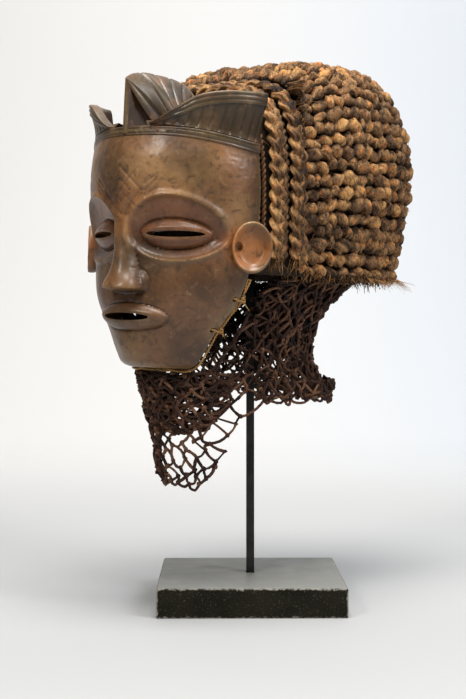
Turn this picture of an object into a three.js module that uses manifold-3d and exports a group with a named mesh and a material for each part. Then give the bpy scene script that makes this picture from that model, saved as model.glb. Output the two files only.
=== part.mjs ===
// Mwana pwo dance mask of the Chokwe: a carved wooden face with a three-lobed crest, a knotted
// fibre wig, plaits along the wood, and a knotted neck net, held up by a rod on a square block.
//
// The unit is the millimetre and +Z is up. The origin is the middle of the block's underside, +X is
// to the right and the block's front faces -Y. The head is built looking along -Y, with the rod's
// line at x = 0, y = 0, and its group then turns it to its own right and tilts it a little.
import * as THREE from "three";
import { mergeVertices } from "three/addons/utils/BufferGeometryUtils.js";
import Module from "manifold-3d";

const wasm = await Module();
wasm.setup();

// Fits
const CLEARANCE = 0.3;
const SMOOTHNESS = 0.1;
const CORD_GAP = 2.5;
const CORD_SEAT = 1.2;

// Stand
const BASE_WIDTH = 160;
const BASE_DEPTH = 160;
const BASE_HEIGHT = 25;
const BASE_CHAMFER = 1.2;
const ROD_WIDTH = 7;
const ROD_SOCKET_DEPTH = 15;

// Pose of the head on its rod
const HEAD_TURN = THREE.MathUtils.degToRad(40);
const HEAD_TILT = THREE.MathUtils.degToRad(2.2);
const HEAD_PIVOT_Z = 330;

// Carved face: the face height is the chin to the hairline, in three equal parts
const CHIN_Z = 209;
const FACE_HEIGHT = 184;
const FACE_HALF_WIDTH = 86;
const WOOD_REAR_Y = -95;
const FOREHEAD_DEPTH = 70;
const SECTION_POWER = 2 / 1.7;
const WOOD_WALL = 8;
const BAND_HEIGHT = 8;
const BAND_RISE = 1.6;
const BAND_DROP = 11;
const ROOF_THICKNESS = 9;
const THIRD = FACE_HEIGHT / 3;

// Heights of the features above the chin, and their sizes
const MOUTH_V = THIRD * 0.67;
const NOSE_BASE_V = THIRD;
const EYE_V = THIRD * 1.75;
const BROW_V = THIRD * 2;
const EYE_X = 40;
const EYE_HALF = [27, 12];
const EYE_SLIT_HALF = [21, 2.6];
const SOCKET_HALF_WIDTH = 34;
const SOCKET_UP = 30;
const SOCKET_DOWN = 21;
const SOCKET_DEPTH = 9;
const EYE_BULGE = 7.5;
const SOCKET_RIM = 1.6;
const NOSE_HEIGHT = 21;
const NOSE_HALF_WIDTH = 17;
const NOSE_BRIDGE_HALF_WIDTH = 7;
const NOSE_BRIDGE_HEIGHT = 2;
const NOSE_UNDERSIDE = [-1, 2.5];
const NOSE_FADE = [-6, 14];
const LIP_HALF_WIDTH = 33;
const LIP_HEIGHT = 11;
const LIP_RISE = 6;
const MOUTH_SLIT_HALF = [24, 3];

// Swellings of the face: place out from the middle and above the chin, spread the same two ways, rise
const FOREHEAD_SWELL = { side: 0, v: THIRD * 2.5, across: 40, up: 26, rise: 2.5 };
const MUZZLE_SWELL = { side: 0, v: MOUTH_V, across: 26, up: 18, rise: 5 };
const CHIN_SWELL = { side: 0, v: 13, across: 15, up: 9, rise: 4 };
const CHEEK_SWELL = { side: 46, v: THIRD * 1.05, across: 16, up: 17, rise: 3 };
const NOSTRIL_SWELL = { side: 12.5, v: NOSE_BASE_V + 7, across: 4.5, up: 5, rise: 3.5 };

// Ears
const EAR_CENTRE = [FACE_HALF_WIDTH, WOOD_REAR_Y - 9, CHIN_Z + FACE_HEIGHT * 0.533];
const EAR_HALF = [16, 20.5];
const EAR_THICKNESS = 8;
const EAR_TURN = THREE.MathUtils.degToRad(45);
const EAR_NOTCH_RADIUS = 3.6;

// Holes that the lashing is tied through
const LASHING_HOLE_DIAMETER = 4;
const LASHING_HOLE_V = [32, 57];
const LASHING_HOLE_INSET = 5;

// Crest
const CREST_GAP_ANGLE = THREE.MathUtils.degToRad(19);
const SIDE_LOBE_RISE = 28;
const SIDE_LOBE_FLARE = 5;
const SIDE_LOBE_THICKNESS = 9;
const SIDE_LOBE_FLUTES = 8;
const SIDE_LOBE_RIM = 10;
const FLUTE_DEPTH = 1.4;
const CENTRE_LOBE_HALF_WIDTH = 33;
const CENTRE_LOBE_RISE = 46;
const CENTRE_LOBE_SWEEP = 30;
const CENTRE_LOBE_RIBS = 7;
const KEEL_WIDTH = 5;
const KEEL_EDGE_WIDTH = 2.4;
const KEEL_RECESS = 6;
const MOUTH_LIP = 3.5;
const LOBE_ROOT = 6;

// Plaits and cords over the join of wood and wig, from the wood backwards
const EDGE_CORD_DIAMETER = 3.4;
const PLAIT_WIDTH = 14;
const PLAIT_SIDES = 6;
const PLAIT_STEPS = 38;
const DIVIDER_CORD_DIAMETER = 3;
const CORD_SIDES = 5;
const CORD_STEPS = 22;

// Fibre wig
const WIG_BOTTOM_Z = 287;
const PLAIT_END_Z = WIG_BOTTOM_Z + 13;
const WIG_TOP_Z = 465;
const WIG_CROWN_RISE = 13;
const WIG_HALF_WIDTH = 104;
const WIG_FRONT_TAPER = 0.08;
const WIG_FRONT_TAPER_LENGTH = 70;
const WIG_FRONT_DROP = 9;
const WIG_FRONT_DROP_LENGTH = 34;
const WIG_MIDDLE_Y = 20;
const WIG_HALF_DEPTH = 121;
const WIG_WALL = 30;
const WIG_TUCK = 0.07;
const WIG_PLAN_POWER = 2 / 3.8;
const WIG_SIDE_POWER = 2 / 4.8;
const WIG_ROWS = 21;
const WIG_COLUMNS = 32;
const KNOB_DEPTH = 2.6;
const KNOB_FADE_ROWS = 8;
const ARCH_POWER = 2 / 4.6;
const LIP_FRONT_HALF_WIDTH = 77.5;
const LIP_ABOVE_HAIRLINE = 34;
const LIP_FRONT_TOP_Z = CHIN_Z + FACE_HEIGHT + LIP_ABOVE_HAIRLINE;
const LIP_BACK_HALF_WIDTH = 87;
const LIP_BACK_RISE = 15;
const LIP_BACK_TOP_Z = LIP_FRONT_TOP_Z + LIP_BACK_RISE;
const LIP_WALL = 6;

// Neck net
const NET_COLUMNS = 20;
const NET_ROWS = 5;
const NET_STRAND = 4;
const NET_MIDDLE_Y = -12;
const NET_TOP_HALF_WIDTH = 80;
const NET_JAW_HALF_WIDTH = 66;
const NET_TOP_FRONT = 108;
const NET_TOP_BACK = 127;
const NET_LOW_HALF_WIDTH = 62;
const NET_LOW_FRONT = 82;
const NET_LOW_BACK = 112;
const NET_WAIST = 0.3;
const NET_SIDE_LENGTH = 102;
const NET_FLAP_LENGTH = 91;
const NET_FLAP_NARROWING = 0.26;
const NET_FLAP_EDGES = [0.6, 0.8];
const NET_PANELS = 4;
const NET_WOBBLE = 0.16;

// Lashing cord
const LASHING_DIAMETER = 3;
const LASHING_KNOT_DIAMETER = 7;

// Colours and finishes
const WOOD = new THREE.MeshStandardMaterial({ color: 0x7d5338, roughness: 0.45, metalness: 0 });
const WIG_FIBRE = new THREE.MeshStandardMaterial({ color: 0x5f452c, roughness: 0.9, metalness: 0 });
const PLAIT_FIBRE = new THREE.MeshStandardMaterial({ color: 0x7d6544, roughness: 0.85, metalness: 0 });
const NET_FIBRE = new THREE.MeshStandardMaterial({ color: 0x3d2519, roughness: 0.9, metalness: 0 });
const CORD_FIBRE = new THREE.MeshStandardMaterial({ color: 0xa97c3c, roughness: 0.8, metalness: 0 });
const STAND_BLOCK = new THREE.MeshStandardMaterial({ color: 0x3a3833, roughness: 0.55, metalness: 0 });
const STAND_STEEL = new THREE.MeshStandardMaterial({ color: 0x191919, roughness: 0.4, metalness: 0.6 });

// General helpers

const mix = THREE.MathUtils.lerp;
const ease = THREE.MathUtils.smoothstep;

function power(value, exponent) {
  return Math.sign(value) * Math.abs(value) ** exponent;
}

function hill(distance, spread) {
  return Math.exp(-0.5 * (distance / spread) ** 2);
}

// The smooth curve through [position, value] keys, read at one position.
function along(keys, position) {
  const last = keys.length - 1;
  if (position <= keys[0][0]) return keys[0][1];
  if (position >= keys[last][0]) return keys[last][1];
  const k = keys.findIndex((key) => key[0] > position) - 1;
  const slope = (i) => {
    const before = keys[Math.max(i - 1, 0)];
    const after = keys[Math.min(i + 1, last)];
    return (after[1] - before[1]) / (after[0] - before[0]);
  };
  const width = keys[k + 1][0] - keys[k][0];
  const u = (position - keys[k][0]) / width;
  const rise = keys[k + 1][1] - keys[k][1];
  const bend = (1 - u) * (slope(k) * width - rise) - u * (slope(k + 1) * width - rise);
  return keys[k][1] + rise * u + u * (1 - u) * bend;
}

// Stations from a start through [position, steps] stretches.
function stations(start, stretches) {
  const out = [start];
  for (const [end, steps] of stretches) {
    const from = out[out.length - 1];
    for (let i = 1; i <= steps; i += 1) out.push(mix(from, end, i / steps));
  }
  return out;
}

// Parameters from 0 to 1 that cut a curve into stretches of equal length.
function evenly(curve, steps) {
  const samples = 900;
  const placeOf = (i) => 0.5 - 0.5 * Math.cos((Math.PI * i) / samples);
  const lengths = [0];
  let last = curve(0);
  for (let i = 1; i <= samples; i += 1) {
    const next = curve(placeOf(i));
    lengths.push(lengths[i - 1] + Math.hypot(...next.map((value, k) => value - last[k])));
    last = next;
  }
  const out = [];
  for (let i = 0, k = 0; i <= steps; i += 1) {
    const wanted = (lengths[samples] * i) / steps;
    while (k < samples && lengths[k] < wanted) k += 1;
    const over = k === 0 ? 0 : (lengths[k] - wanted) / (lengths[k] - lengths[k - 1]);
    out.push(mix(placeOf(k), placeOf(Math.max(k - 1, 0)), over));
  }
  return out;
}

// A closed solid from a three.js geometry.
function solidOf(geometry) {
  const bare = geometry.clone();
  bare.deleteAttribute("normal");
  bare.deleteAttribute("uv");
  const merged = mergeVertices(bare, 1e-4);
  return new wasm.Manifold(
    new wasm.Mesh({
      numProp: 3,
      vertProperties: merged.attributes.position.array,
      triVerts: new Uint32Array(merged.index.array),
    }),
  );
}

// A closed solid from points and triangles, whichever way round the triangles run.
function solidFrom(points, triangles) {
  const corners = points.map((point) => new THREE.Vector3(...point));
  let volume = 0;
  for (const [a, b, c] of triangles) {
    volume += corners[a].dot(corners[b].clone().cross(corners[c]));
  }
  const order = volume < 0 ? triangles.map(([a, b, c]) => [a, c, b]) : triangles;
  return new wasm.Manifold(
    new wasm.Mesh({
      numProp: 3,
      vertProperties: new Float32Array(points.flat()),
      triVerts: new Uint32Array(order.flat()),
    }),
  );
}

// Two triangles over four points in order round, split along the shorter diagonal.
function quad(points, a, b, c, d) {
  const gap = (i, k) => Math.hypot(...points[i].map((value, axis) => value - points[k][axis]));
  if (gap(a, c) <= gap(b, d)) return [[a, b, c], [a, c, d]];
  return [[a, b, d], [b, c, d]];
}

// A solid through rings of equally many points, closed by a fan at each end.
function loft(rings) {
  const count = rings[0].length;
  const points = rings.flat();
  const triangles = [];
  for (let k = 0; k + 1 < rings.length; k += 1) {
    for (let i = 0; i < count; i += 1) {
      const a = k * count + i;
      const b = k * count + ((i + 1) % count);
      triangles.push(...quad(points, a, b, b + count, a + count));
    }
  }
  for (const [ring, start, flip] of [[rings[0], 0, true], [rings.at(-1), points.length - count, false]]) {
    const middle = [0, 1, 2].map((axis) => ring.reduce((sum, point) => sum + point[axis], 0) / count);
    const hub = points.push(middle) - 1;
    for (let i = 0; i < count; i += 1) {
      const a = start + i;
      const b = start + ((i + 1) % count);
      triangles.push(flip ? [b, a, hub] : [a, b, hub]);
    }
  }
  return solidFrom(points, triangles);
}

// A round or flattened tube whose ring at each station is given by its own radii.
function tube(path, sides, radiiAt) {
  const rings = path.map((point, k) => {
    const before = new THREE.Vector3(...path[Math.max(k - 1, 0)]);
    const after = new THREE.Vector3(...path[Math.min(k + 1, path.length - 1)]);
    const forward = after.sub(before).normalize();
    const across = new THREE.Vector3(0, 1, 0).addScaledVector(forward, -forward.y).normalize();
    const out = forward.clone().cross(across);
    const [wide, deep, shift] = radiiAt(k);
    return Array.from({ length: sides }, (_, i) => {
      const angle = (2 * Math.PI * (i + 0.5)) / sides;
      return new THREE.Vector3(...point)
        .addScaledVector(across, wide * Math.cos(angle) + shift)
        .addScaledVector(out, deep * Math.sin(angle))
        .toArray();
    });
  });
  return loft(rings);
}

// An elliptic bar along Y, for the slits of the eyes and the mouth.
function slit(x, z, [halfWidth, halfHeight], from, to) {
  const outline = new THREE.Shape();
  outline.absellipse(0, 0, halfWidth, halfHeight, 0, 2 * Math.PI);
  const bar = new THREE.ExtrudeGeometry(outline, {
    depth: to - from,
    bevelEnabled: false,
    curveSegments: 7,
  });
  bar.rotateX(Math.PI / 2).translate(x, to, z);
  return solidOf(bar);
}

function meshOf(solid, name, material) {
  const { vertProperties, triVerts, numProp } = solid.getMesh();
  const positions = new Float32Array((vertProperties.length / numProp) * 3);
  for (let i = 0; i < positions.length / 3; i += 1) {
    positions.set(vertProperties.subarray(i * numProp, i * numProp + 3), i * 3);
  }
  const geometry = new THREE.BufferGeometry();
  geometry.setAttribute("position", new THREE.BufferAttribute(positions, 3));
  geometry.setIndex(new THREE.BufferAttribute(new Uint32Array(triVerts), 1));
  const mesh = new THREE.Mesh(geometry, material);
  mesh.name = name;
  return mesh;
}

// Carved wood

// Half-width, depth and rear edge of the face against its height, as shares of the sizes above;
// the rear edge is in millimetres.
const WIDTH_KEYS = [[0, 0.4], [0.03, 0.47], [0.17, 0.63], [0.31, 0.84], [0.55, 0.96], [0.75, 1], [1, 0.97]];
const DEPTH_KEYS = [
  [0, 0.34], [0.03, 0.42], [0.17, 0.6], [0.5, 0.86], [0.75, 0.98], [0.9, 1], [1, 0.95], [1.1, 0.87],
];
const REAR_KEYS = [[0, -18], [0.17, -12], [0.45, -2], [0.7, 0], [1, 0]];

// The plain section of the face at a height above the chin: half-width, depth and rear edge.
function sectionAt(v) {
  const t = v / FACE_HEIGHT;
  return {
    halfWidth: FACE_HALF_WIDTH * along(WIDTH_KEYS, t),
    depth: FOREHEAD_DEPTH * along(DEPTH_KEYS, t),
    rear: WOOD_REAR_Y + along(REAR_KEYS, t),
  };
}

// A point of the plain face and its outward normal in plan, at an angle from the middle.
function facePlan(angle, v) {
  const { halfWidth, depth, rear } = sectionAt(v);
  const at = (phi) => [
    halfWidth * power(Math.sin(phi), SECTION_POWER),
    rear - depth * power(Math.max(Math.cos(phi), 0), SECTION_POWER),
  ];
  const step = 0.02;
  const limit = Math.PI / 2;
  const [x0, y0] = at(Math.max(angle - step, -limit));
  const [x1, y1] = at(Math.min(angle + step, limit));
  const length = Math.hypot(x1 - x0, y1 - y0);
  const [x, y] = at(angle);
  return { x, y, nx: -(y0 - y1) / length, ny: (x0 - x1) / length };
}

function swelling(form, side, v) {
  return form.rise * hill(side - form.side, form.across) * hill(v - form.v, form.up);
}

// How far the carving stands out from the plain face, or is cut into it.
function relief(x, v) {
  const side = Math.abs(x);
  let height = 0;
  for (const form of [FOREHEAD_SWELL, MUZZLE_SWELL, CHIN_SWELL, CHEEK_SWELL]) {
    height += swelling(form, side, v);
  }

  const socketReach = v > EYE_V ? SOCKET_UP : SOCKET_DOWN;
  const socket = Math.hypot((side - EYE_X) / SOCKET_HALF_WIDTH, (v - EYE_V) / socketReach);
  if (socket < 1) height -= SOCKET_DEPTH * (1 - socket ** 2) ** 0.7;
  height += SOCKET_RIM * hill(socket - 1.04, 0.06);
  const eye = Math.hypot((side - EYE_X) / EYE_HALF[0], (v - EYE_V) / EYE_HALF[1]);
  if (eye < 1) height += EYE_BULGE * (1 - eye ** 2) ** 0.6;

  const down = THREE.MathUtils.clamp((BROW_V - v) / (BROW_V - NOSE_BASE_V), 0, 1);
  const noseHalf = mix(NOSE_BRIDGE_HALF_WIDTH, NOSE_HALF_WIDTH, down ** 1.6);
  const noseRise = mix(NOSE_BRIDGE_HEIGHT, NOSE_HEIGHT, down ** 1.2);
  const underside = ease(v, NOSE_BASE_V + NOSE_UNDERSIDE[0], NOSE_BASE_V + NOSE_UNDERSIDE[1]);
  const above = 1 - ease(v, BROW_V + NOSE_FADE[0], BROW_V + NOSE_FADE[1]);
  const across = Math.max(1 - (side / noseHalf) ** 2, 0);
  height += noseRise * across ** 0.75 * underside * above;
  height += swelling(NOSTRIL_SWELL, side, v) * underside;

  const open = Math.max(1 - (side / LIP_HALF_WIDTH) ** 2, 0);
  const lipReach = LIP_HEIGHT * open ** 0.45;
  const fromMouth = Math.abs(v - MOUTH_V);
  if (lipReach > 0 && fromMouth < lipReach) {
    height += LIP_RISE * open ** 0.3 * (1 - (fromMouth / lipReach) ** 2) ** 0.6;
  }
  return height;
}

const FACE_SHARES = [0, 0.09, 0.18, 0.26, 0.34, 0.42, 0.51, 0.6, 0.69, 0.78, 0.86, 0.93, 0.98, 1];

// Angles of the face's columns from one side to the other.
function faceAngles(shares) {
  const half = shares.map((share) => Math.asin(Math.min(share ** (1 / SECTION_POWER), 1)));
  return [...half.slice(1).reverse().map((angle) => -angle), ...half];
}

const hairline = FACE_HEIGHT;
const bandTop = hairline + BAND_HEIGHT;
const roofTop = bandTop + ROOF_THICKNESS / 2;

// How far the hairline and the band have dropped at an angle from the middle.
function dropAt(angle, v) {
  return BAND_DROP * Math.abs(Math.sin(angle)) ** 4 * ease(v, hairline * 0.75, hairline);
}

function faceBody() {
  const rows = stations(0, [
    [4, 1],
    [MOUTH_V - LIP_HEIGHT, 3],
    [MOUTH_V - MOUTH_SLIT_HALF[1], 3],
    [MOUTH_V + MOUTH_SLIT_HALF[1], 1],
    [MOUTH_V + LIP_HEIGHT, 3],
    [NOSE_BASE_V + NOSE_UNDERSIDE[0], 1],
    [NOSE_BASE_V + NOSE_UNDERSIDE[1], 1],
    [EYE_V - SOCKET_DOWN, 2],
    [EYE_V - EYE_HALF[1], 2],
    [EYE_V + EYE_HALF[1], 4],
    [EYE_V + SOCKET_UP, 3],
    [hairline, 4],
  ]);
  const angles = faceAngles(FACE_SHARES);
  const ring = (v, lift) => angles.map((angle) => {
    const { x, y, nx, ny } = facePlan(angle, v);
    const rise = (v <= hairline ? relief(x, v) : 0) + lift;
    return [x + nx * rise, y + ny * rise, CHIN_Z + v - dropAt(angle, v)];
  });
  const rings = rows.map((v) => ring(v, 0));
  rings.push(ring(hairline + 0.6, BAND_RISE), ring(bandTop, BAND_RISE), ring(bandTop + 0.6, -0.5));
  rings.push(ring(roofTop, -2));
  return loft(rings);
}

// The hollow behind the face, open behind and below.
function faceHollow() {
  const shares = [0, 0.2, 0.4, 0.6, 0.8, 0.95, 1];
  const rows = stations(-1.5 * WOOD_WALL, [
    [WOOD_WALL / 4, 1],
    [EYE_V - SOCKET_DOWN, 4],
    [EYE_V + SOCKET_UP, 4],
    [roofTop - ROOF_THICKNESS, 3],
  ]);
  const rings = rows.map((v) => {
    const clamped = Math.max(v, 0);
    const { rear } = sectionAt(clamped);
    const front = faceAngles(shares).map((angle) => {
      const { x, y, nx, ny } = facePlan(angle, clamped);
      const cut = WOOD_WALL + Math.max(-relief(x, clamped), 0);
      return [x - nx * cut, Math.min(y - ny * cut, rear - 1), CHIN_Z + v];
    });
    const past = rear + 2 * WOOD_WALL;
    return [...front, [front.at(-1)[0], past, CHIN_Z + v], [front[0][0], past, CHIN_Z + v]];
  });
  return loft(rings);
}

// One dished ear, with the notch on its inner edge.
function ear(side) {
  const profile = [[0, 0], [0.92, 0], [1, 0.4], [0.93, 1], [0.82, 0.86], [0.62, 0.42], [0, 0.3]];
  const dish = new THREE.LatheGeometry(
    profile.map(([radius, height]) => new THREE.Vector2(radius, height)),
    14,
  );
  dish.scale(EAR_HALF[0], -EAR_THICKNESS, EAR_HALF[1]);
  const notch = new THREE.CylinderGeometry(EAR_NOTCH_RADIUS, EAR_NOTCH_RADIUS, EAR_THICKNESS, 8);
  notch.translate(-EAR_HALF[0] * 0.62, -EAR_THICKNESS * 0.75, 0);
  const flip = (geometry) => {
    const index = geometry.index.array;
    for (let i = 0; i < index.length; i += 3) {
      [index[i + 1], index[i + 2]] = [index[i + 2], index[i + 1]];
    }
    return geometry;
  };
  const shaped = solidOf(flip(dish)).subtract(solidOf(notch));
  const turned = shaped.rotate([0, 0, THREE.MathUtils.radToDeg(EAR_TURN)]).translate(EAR_CENTRE);
  return side > 0 ? turned : turned.mirror([1, 0, 0]);
}

// One side lobe of the crest: an upright fluted plate along the band, with a moulded rim.
function sideLobe(side) {
  const riseKeys = [[0, 0.06], [0.12, 0.28], [0.36, 0.8], [0.58, 0.97], [0.8, 1], [1, 1]];
  const steps = 2 * SIDE_LOBE_FLUTES;
  const rings = [];
  for (let k = 0; k <= steps; k += 1) {
    const share = k / steps;
    const angle = mix(CREST_GAP_ANGLE, Math.PI / 2, share);
    const { x, y, nx, ny } = facePlan(angle, hairline);
    const foot = CHIN_Z + bandTop - dropAt(angle, bandTop);
    const top = CHIN_Z + bandTop + SIDE_LOBE_RISE * along(riseKeys, share);
    const flute = k % 2 ? -FLUTE_DEPTH : 0;
    const rim = Math.min(SIDE_LOBE_RIM, (top - foot) * 0.5);
    const flare = (z) => (SIDE_LOBE_FLARE * (z - foot)) / SIDE_LOBE_RISE;
    const at = (offset, z) => {
      const out = offset + flare(z);
      return [side * (x + nx * out), Math.min(y + ny * out, WOOD_REAR_Y), z];
    };
    rings.push([
      at(-SIDE_LOBE_THICKNESS, foot - LOBE_ROOT),
      at(-1, foot - LOBE_ROOT),
      at(-1, foot),
      at(flute - 0.5, foot + 1),
      at(flute, top - rim),
      at(1.2, top - rim + 1),
      at(0.6, top),
      at(-SIDE_LOBE_THICKNESS + 2, top - 1),
    ]);
  }
  return loft(rings);
}

// The middle lobe: a ribbed arch swept back from a keel, with a recess on each side of the keel.
function centreLobe() {
  const front = sectionAt(hairline).rear - sectionAt(hairline).depth - BAND_RISE;
  const ridgeKeys = [[0, 0.84], [0.12, 0.93], [0.3, 0.99], [0.5, 1], [0.8, 0.99], [1, 0.94]];
  const widthKeys = [[0, 0.76], [0.3, 1], [1, 1]];
  const base = CHIN_Z + bandTop;
  const sweepAt = (share) => CENTRE_LOBE_SWEEP * (1 - share) ** 2;
  const arch = (share, half, height, sweep) => {
    const y = mix(front, WOOD_REAR_Y, share);
    const ridge = base + CENTRE_LOBE_RISE * along(ridgeKeys, share) + height;
    const points = [];
    for (let i = 0; i <= 8; i += 1) {
      const across = -1 + i / 4;
      const fall = Math.abs(across) ** mix(1.15, 1.5, ease(share, 0, 0.3));
      points.push([half * across, y + sweep * Math.abs(across), mix(ridge, base + 1, fall)]);
    }
    const floor = base - LOBE_ROOT;
    return [[0, y, floor], [-half, y + sweep, floor], ...points, [half, y + sweep, floor]];
  };
  const widest = (share) => CENTRE_LOBE_HALF_WIDTH * along(widthKeys, share);
  const rings = [arch(0, KEEL_EDGE_WIDTH / 2, 0, 0), arch(0, widest(0), 0, sweepAt(0))];
  for (let k = 1; k < 2 * CENTRE_LOBE_RIBS; k += 1) {
    const share = k / (2 * CENTRE_LOBE_RIBS);
    const groove = k % 2 ? 0 : -FLUTE_DEPTH;
    rings.push(arch(share, widest(share) + groove, groove, sweepAt(share)));
  }
  rings.push(arch(1, widest(1), 0, 0));
  const recess = [1, -1].map((side) => {
    const low = base + 0.5;
    const high = base + CENTRE_LOBE_RISE * ridgeKeys[0][1] - 2 * MOUTH_LIP;
    const outer = widest(0) - 2 * MOUTH_LIP;
    const inner = KEEL_WIDTH / 2;
    const back = (x) => front + (CENTRE_LOBE_SWEEP * x) / widest(0) + KEEL_RECESS;
    const ring = (y) => [[inner, low], [outer, low], [inner, high]].map(([x, z]) => [side * x, y(x), z]);
    return loft([ring(() => front - 2 * KEEL_RECESS), ring(back)]);
  });
  return loft(rings).subtract(recess[0]).subtract(recess[1]);
}

function carvedMask() {
  const frontY = WOOD_REAR_Y - FOREHEAD_DEPTH - 2 * NOSE_HEIGHT;
  const cuts = [
    slit(EYE_X, CHIN_Z + EYE_V, EYE_SLIT_HALF, frontY, WOOD_REAR_Y),
    slit(-EYE_X, CHIN_Z + EYE_V, EYE_SLIT_HALF, frontY, WOOD_REAR_Y),
    slit(0, CHIN_Z + MOUTH_V, MOUTH_SLIT_HALF, frontY, WOOD_REAR_Y),
  ];
  for (const v of LASHING_HOLE_V) {
    const radius = LASHING_HOLE_DIAMETER / 2;
    const drill = new THREE.CylinderGeometry(radius, radius, 3 * FACE_HALF_WIDTH, 8);
    drill.rotateZ(Math.PI / 2).translate(0, sectionAt(v).rear - LASHING_HOLE_INSET, CHIN_Z + v);
    cuts.push(solidOf(drill));
  }
  let wood = faceBody().subtract(faceHollow());
  for (const side of [1, -1]) {
    wood = wood.add(sideLobe(side)).add(ear(side));
  }
  wood = wood.add(centreLobe());
  for (const cut of cuts) wood = wood.subtract(cut);
  return wood.simplify(SMOOTHNESS);
}

// Plaits and cords

const frontCordY = WOOD_REAR_Y + CORD_GAP + EDGE_CORD_DIAMETER / 2;
const backCordY = frontCordY + EDGE_CORD_DIAMETER + CORD_GAP;
const innerPlaitY = backCordY + EDGE_CORD_DIAMETER / 2 + CORD_GAP + PLAIT_WIDTH / 2;
const dividerCordY = innerPlaitY + PLAIT_WIDTH / 2 + CORD_GAP + DIVIDER_CORD_DIAMETER / 2;
const outerPlaitY = dividerCordY + DIVIDER_CORD_DIAMETER / 2 + CORD_GAP + PLAIT_WIDTH / 2;
const wigFrontY = outerPlaitY + PLAIT_WIDTH / 2 + CORD_GAP;
const lipFrontY = WOOD_REAR_Y + CLEARANCE;

// The wig's front lip under the plaits, at a place along Y.
function lipAt(y) {
  const share = (y - lipFrontY) / (wigFrontY - lipFrontY);
  return {
    halfWidth: mix(LIP_FRONT_HALF_WIDTH, LIP_BACK_HALF_WIDTH, share),
    top: mix(LIP_FRONT_TOP_Z, LIP_BACK_TOP_Z, share),
  };
}

// A boxy arch in the plane of one y, from foot to foot, in stretches of equal length.
function archPath(y, halfWidth, top, endZ, steps) {
  const foot = WIG_BOTTOM_Z;
  const low = Math.asin(((endZ - foot) / (top - foot)) ** (1 / ARCH_POWER));
  const at = (u) => {
    const angle = mix(low, Math.PI - low, u);
    return [
      halfWidth * power(Math.cos(angle), ARCH_POWER),
      y,
      foot + (top - foot) * power(Math.sin(angle), ARCH_POWER),
    ];
  };
  return evenly(at, steps).map(at);
}

// A plait that lies on the lip. Its outline zigzags as the strands cross over.
function plait(y) {
  const { halfWidth, top } = lipAt(y);
  const lift = PLAIT_WIDTH / 2 + CORD_SEAT;
  const path = archPath(y, halfWidth + lift, top + lift, PLAIT_END_Z, PLAIT_STEPS);
  return tube(path, PLAIT_SIDES, (k) => {
    const swing = k % 2 ? 1 : -1;
    return [PLAIT_WIDTH / 2 - 1.1, k % 3 ? PLAIT_WIDTH / 2 - 0.8 : PLAIT_WIDTH / 2 - 1.6, swing];
  });
}

function archCord(y, diameter) {
  const { halfWidth, top } = lipAt(y);
  const lift = diameter / 2 + CORD_SEAT;
  const path = archPath(y, halfWidth + lift, top + lift, PLAIT_END_Z, CORD_STEPS);
  return tube(path, CORD_SIDES, () => [diameter / 2, diameter / 2, 0]);
}

// The cord that laces wig and net to the jaw: down behind one edge of the wood, under the chin
// and up behind the other, with a knot at each lashing hole.
function lashingCord() {
  const radius = LASHING_DIAMETER / 2;
  const earFoot = EAR_CENTRE[2] - CHIN_Z - EAR_HALF[1];
  const behind = (side, v) => {
    const { halfWidth, rear } = sectionAt(v);
    return [side * (halfWidth + radius / 2), rear + CLEARANCE + 1.4 * radius, CHIN_Z + v];
  };
  const knotHeights = LASHING_HOLE_V;
  const down = stations(earFoot - 4, [[knotHeights[1] + 2, 2], [knotHeights[1], 1], [knotHeights[1] - 3, 1],
    [knotHeights[0] + 2, 2], [knotHeights[0], 1], [knotHeights[0] - 3, 1], [5, 2]]);
  const under = CHIN_Z - CLEARANCE - radius - 0.2;
  const { halfWidth, rear } = sectionAt(0);
  const chin = [
    [halfWidth * 0.97, rear + 2 * radius, under + radius],
    [halfWidth * 0.85, rear, under],
    [halfWidth * 0.45, rear - 2 * radius, under],
    [halfWidth * 0.1, rear - 2 * radius, under],
  ];
  const half = [...down.map((v) => behind(1, v)), ...chin];
  const other = half.map(([x, y, z]) => [-x, y, z]).reverse();
  const path = [...half, ...other];
  const cord = tube(path, CORD_SIDES, () => [radius, radius, 0]);
  const knots = [1, -1].flatMap((side) => knotHeights.map((v) => {
    const [x, y, z] = behind(side, v);
    const knotRadius = LASHING_KNOT_DIAMETER / 2;
    const knot = new THREE.OctahedronGeometry(knotRadius).translate(x, y + knotRadius - radius, z);
    return solidOf(knot);
  }));
  return knots.reduce((all, knot) => all.add(knot), cord);
}

// Fibre wig

// A point of a bonnet that is open in front and below, and its place on the way round and up.
function bonnetPoint(round, up, sizes, tuck) {
  const { halfWidth, halfDepth, top, frontY } = sizes;
  const start = Math.asin(power((frontY - WIG_MIDDLE_Y) / halfDepth, 1 / WIG_PLAN_POWER));
  const angle = mix(start, Math.PI - start, round);
  const planY = WIG_MIDDLE_Y + halfDepth * power(Math.sin(angle), WIG_PLAN_POWER);
  const taper = WIG_FRONT_TAPER * (1 - ease(planY, frontY, frontY + WIG_FRONT_TAPER_LENGTH));
  const planX = halfWidth * (1 - taper) * power(Math.cos(angle), WIG_PLAN_POWER);
  const rise = (up * Math.PI) / 2;
  const shrink = Math.max(Math.cos(rise), 0) ** WIG_SIDE_POWER;
  const climb = Math.sin(rise) ** WIG_SIDE_POWER;
  const narrow = 1 - tuck * (1 - ease(climb, 0, 0.45));
  const y = frontY + (planY - frontY) * shrink * narrow;
  const crown = WIG_CROWN_RISE * Math.sin(Math.PI * Math.min((y - frontY) / (2.4 * halfDepth), 1));
  const drop = WIG_FRONT_DROP * (1 - ease(y, frontY, frontY + WIG_FRONT_DROP_LENGTH));
  return [planX * shrink * narrow, y, WIG_BOTTOM_Z + (top + crown - drop - WIG_BOTTOM_Z) * climb];
}

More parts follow.
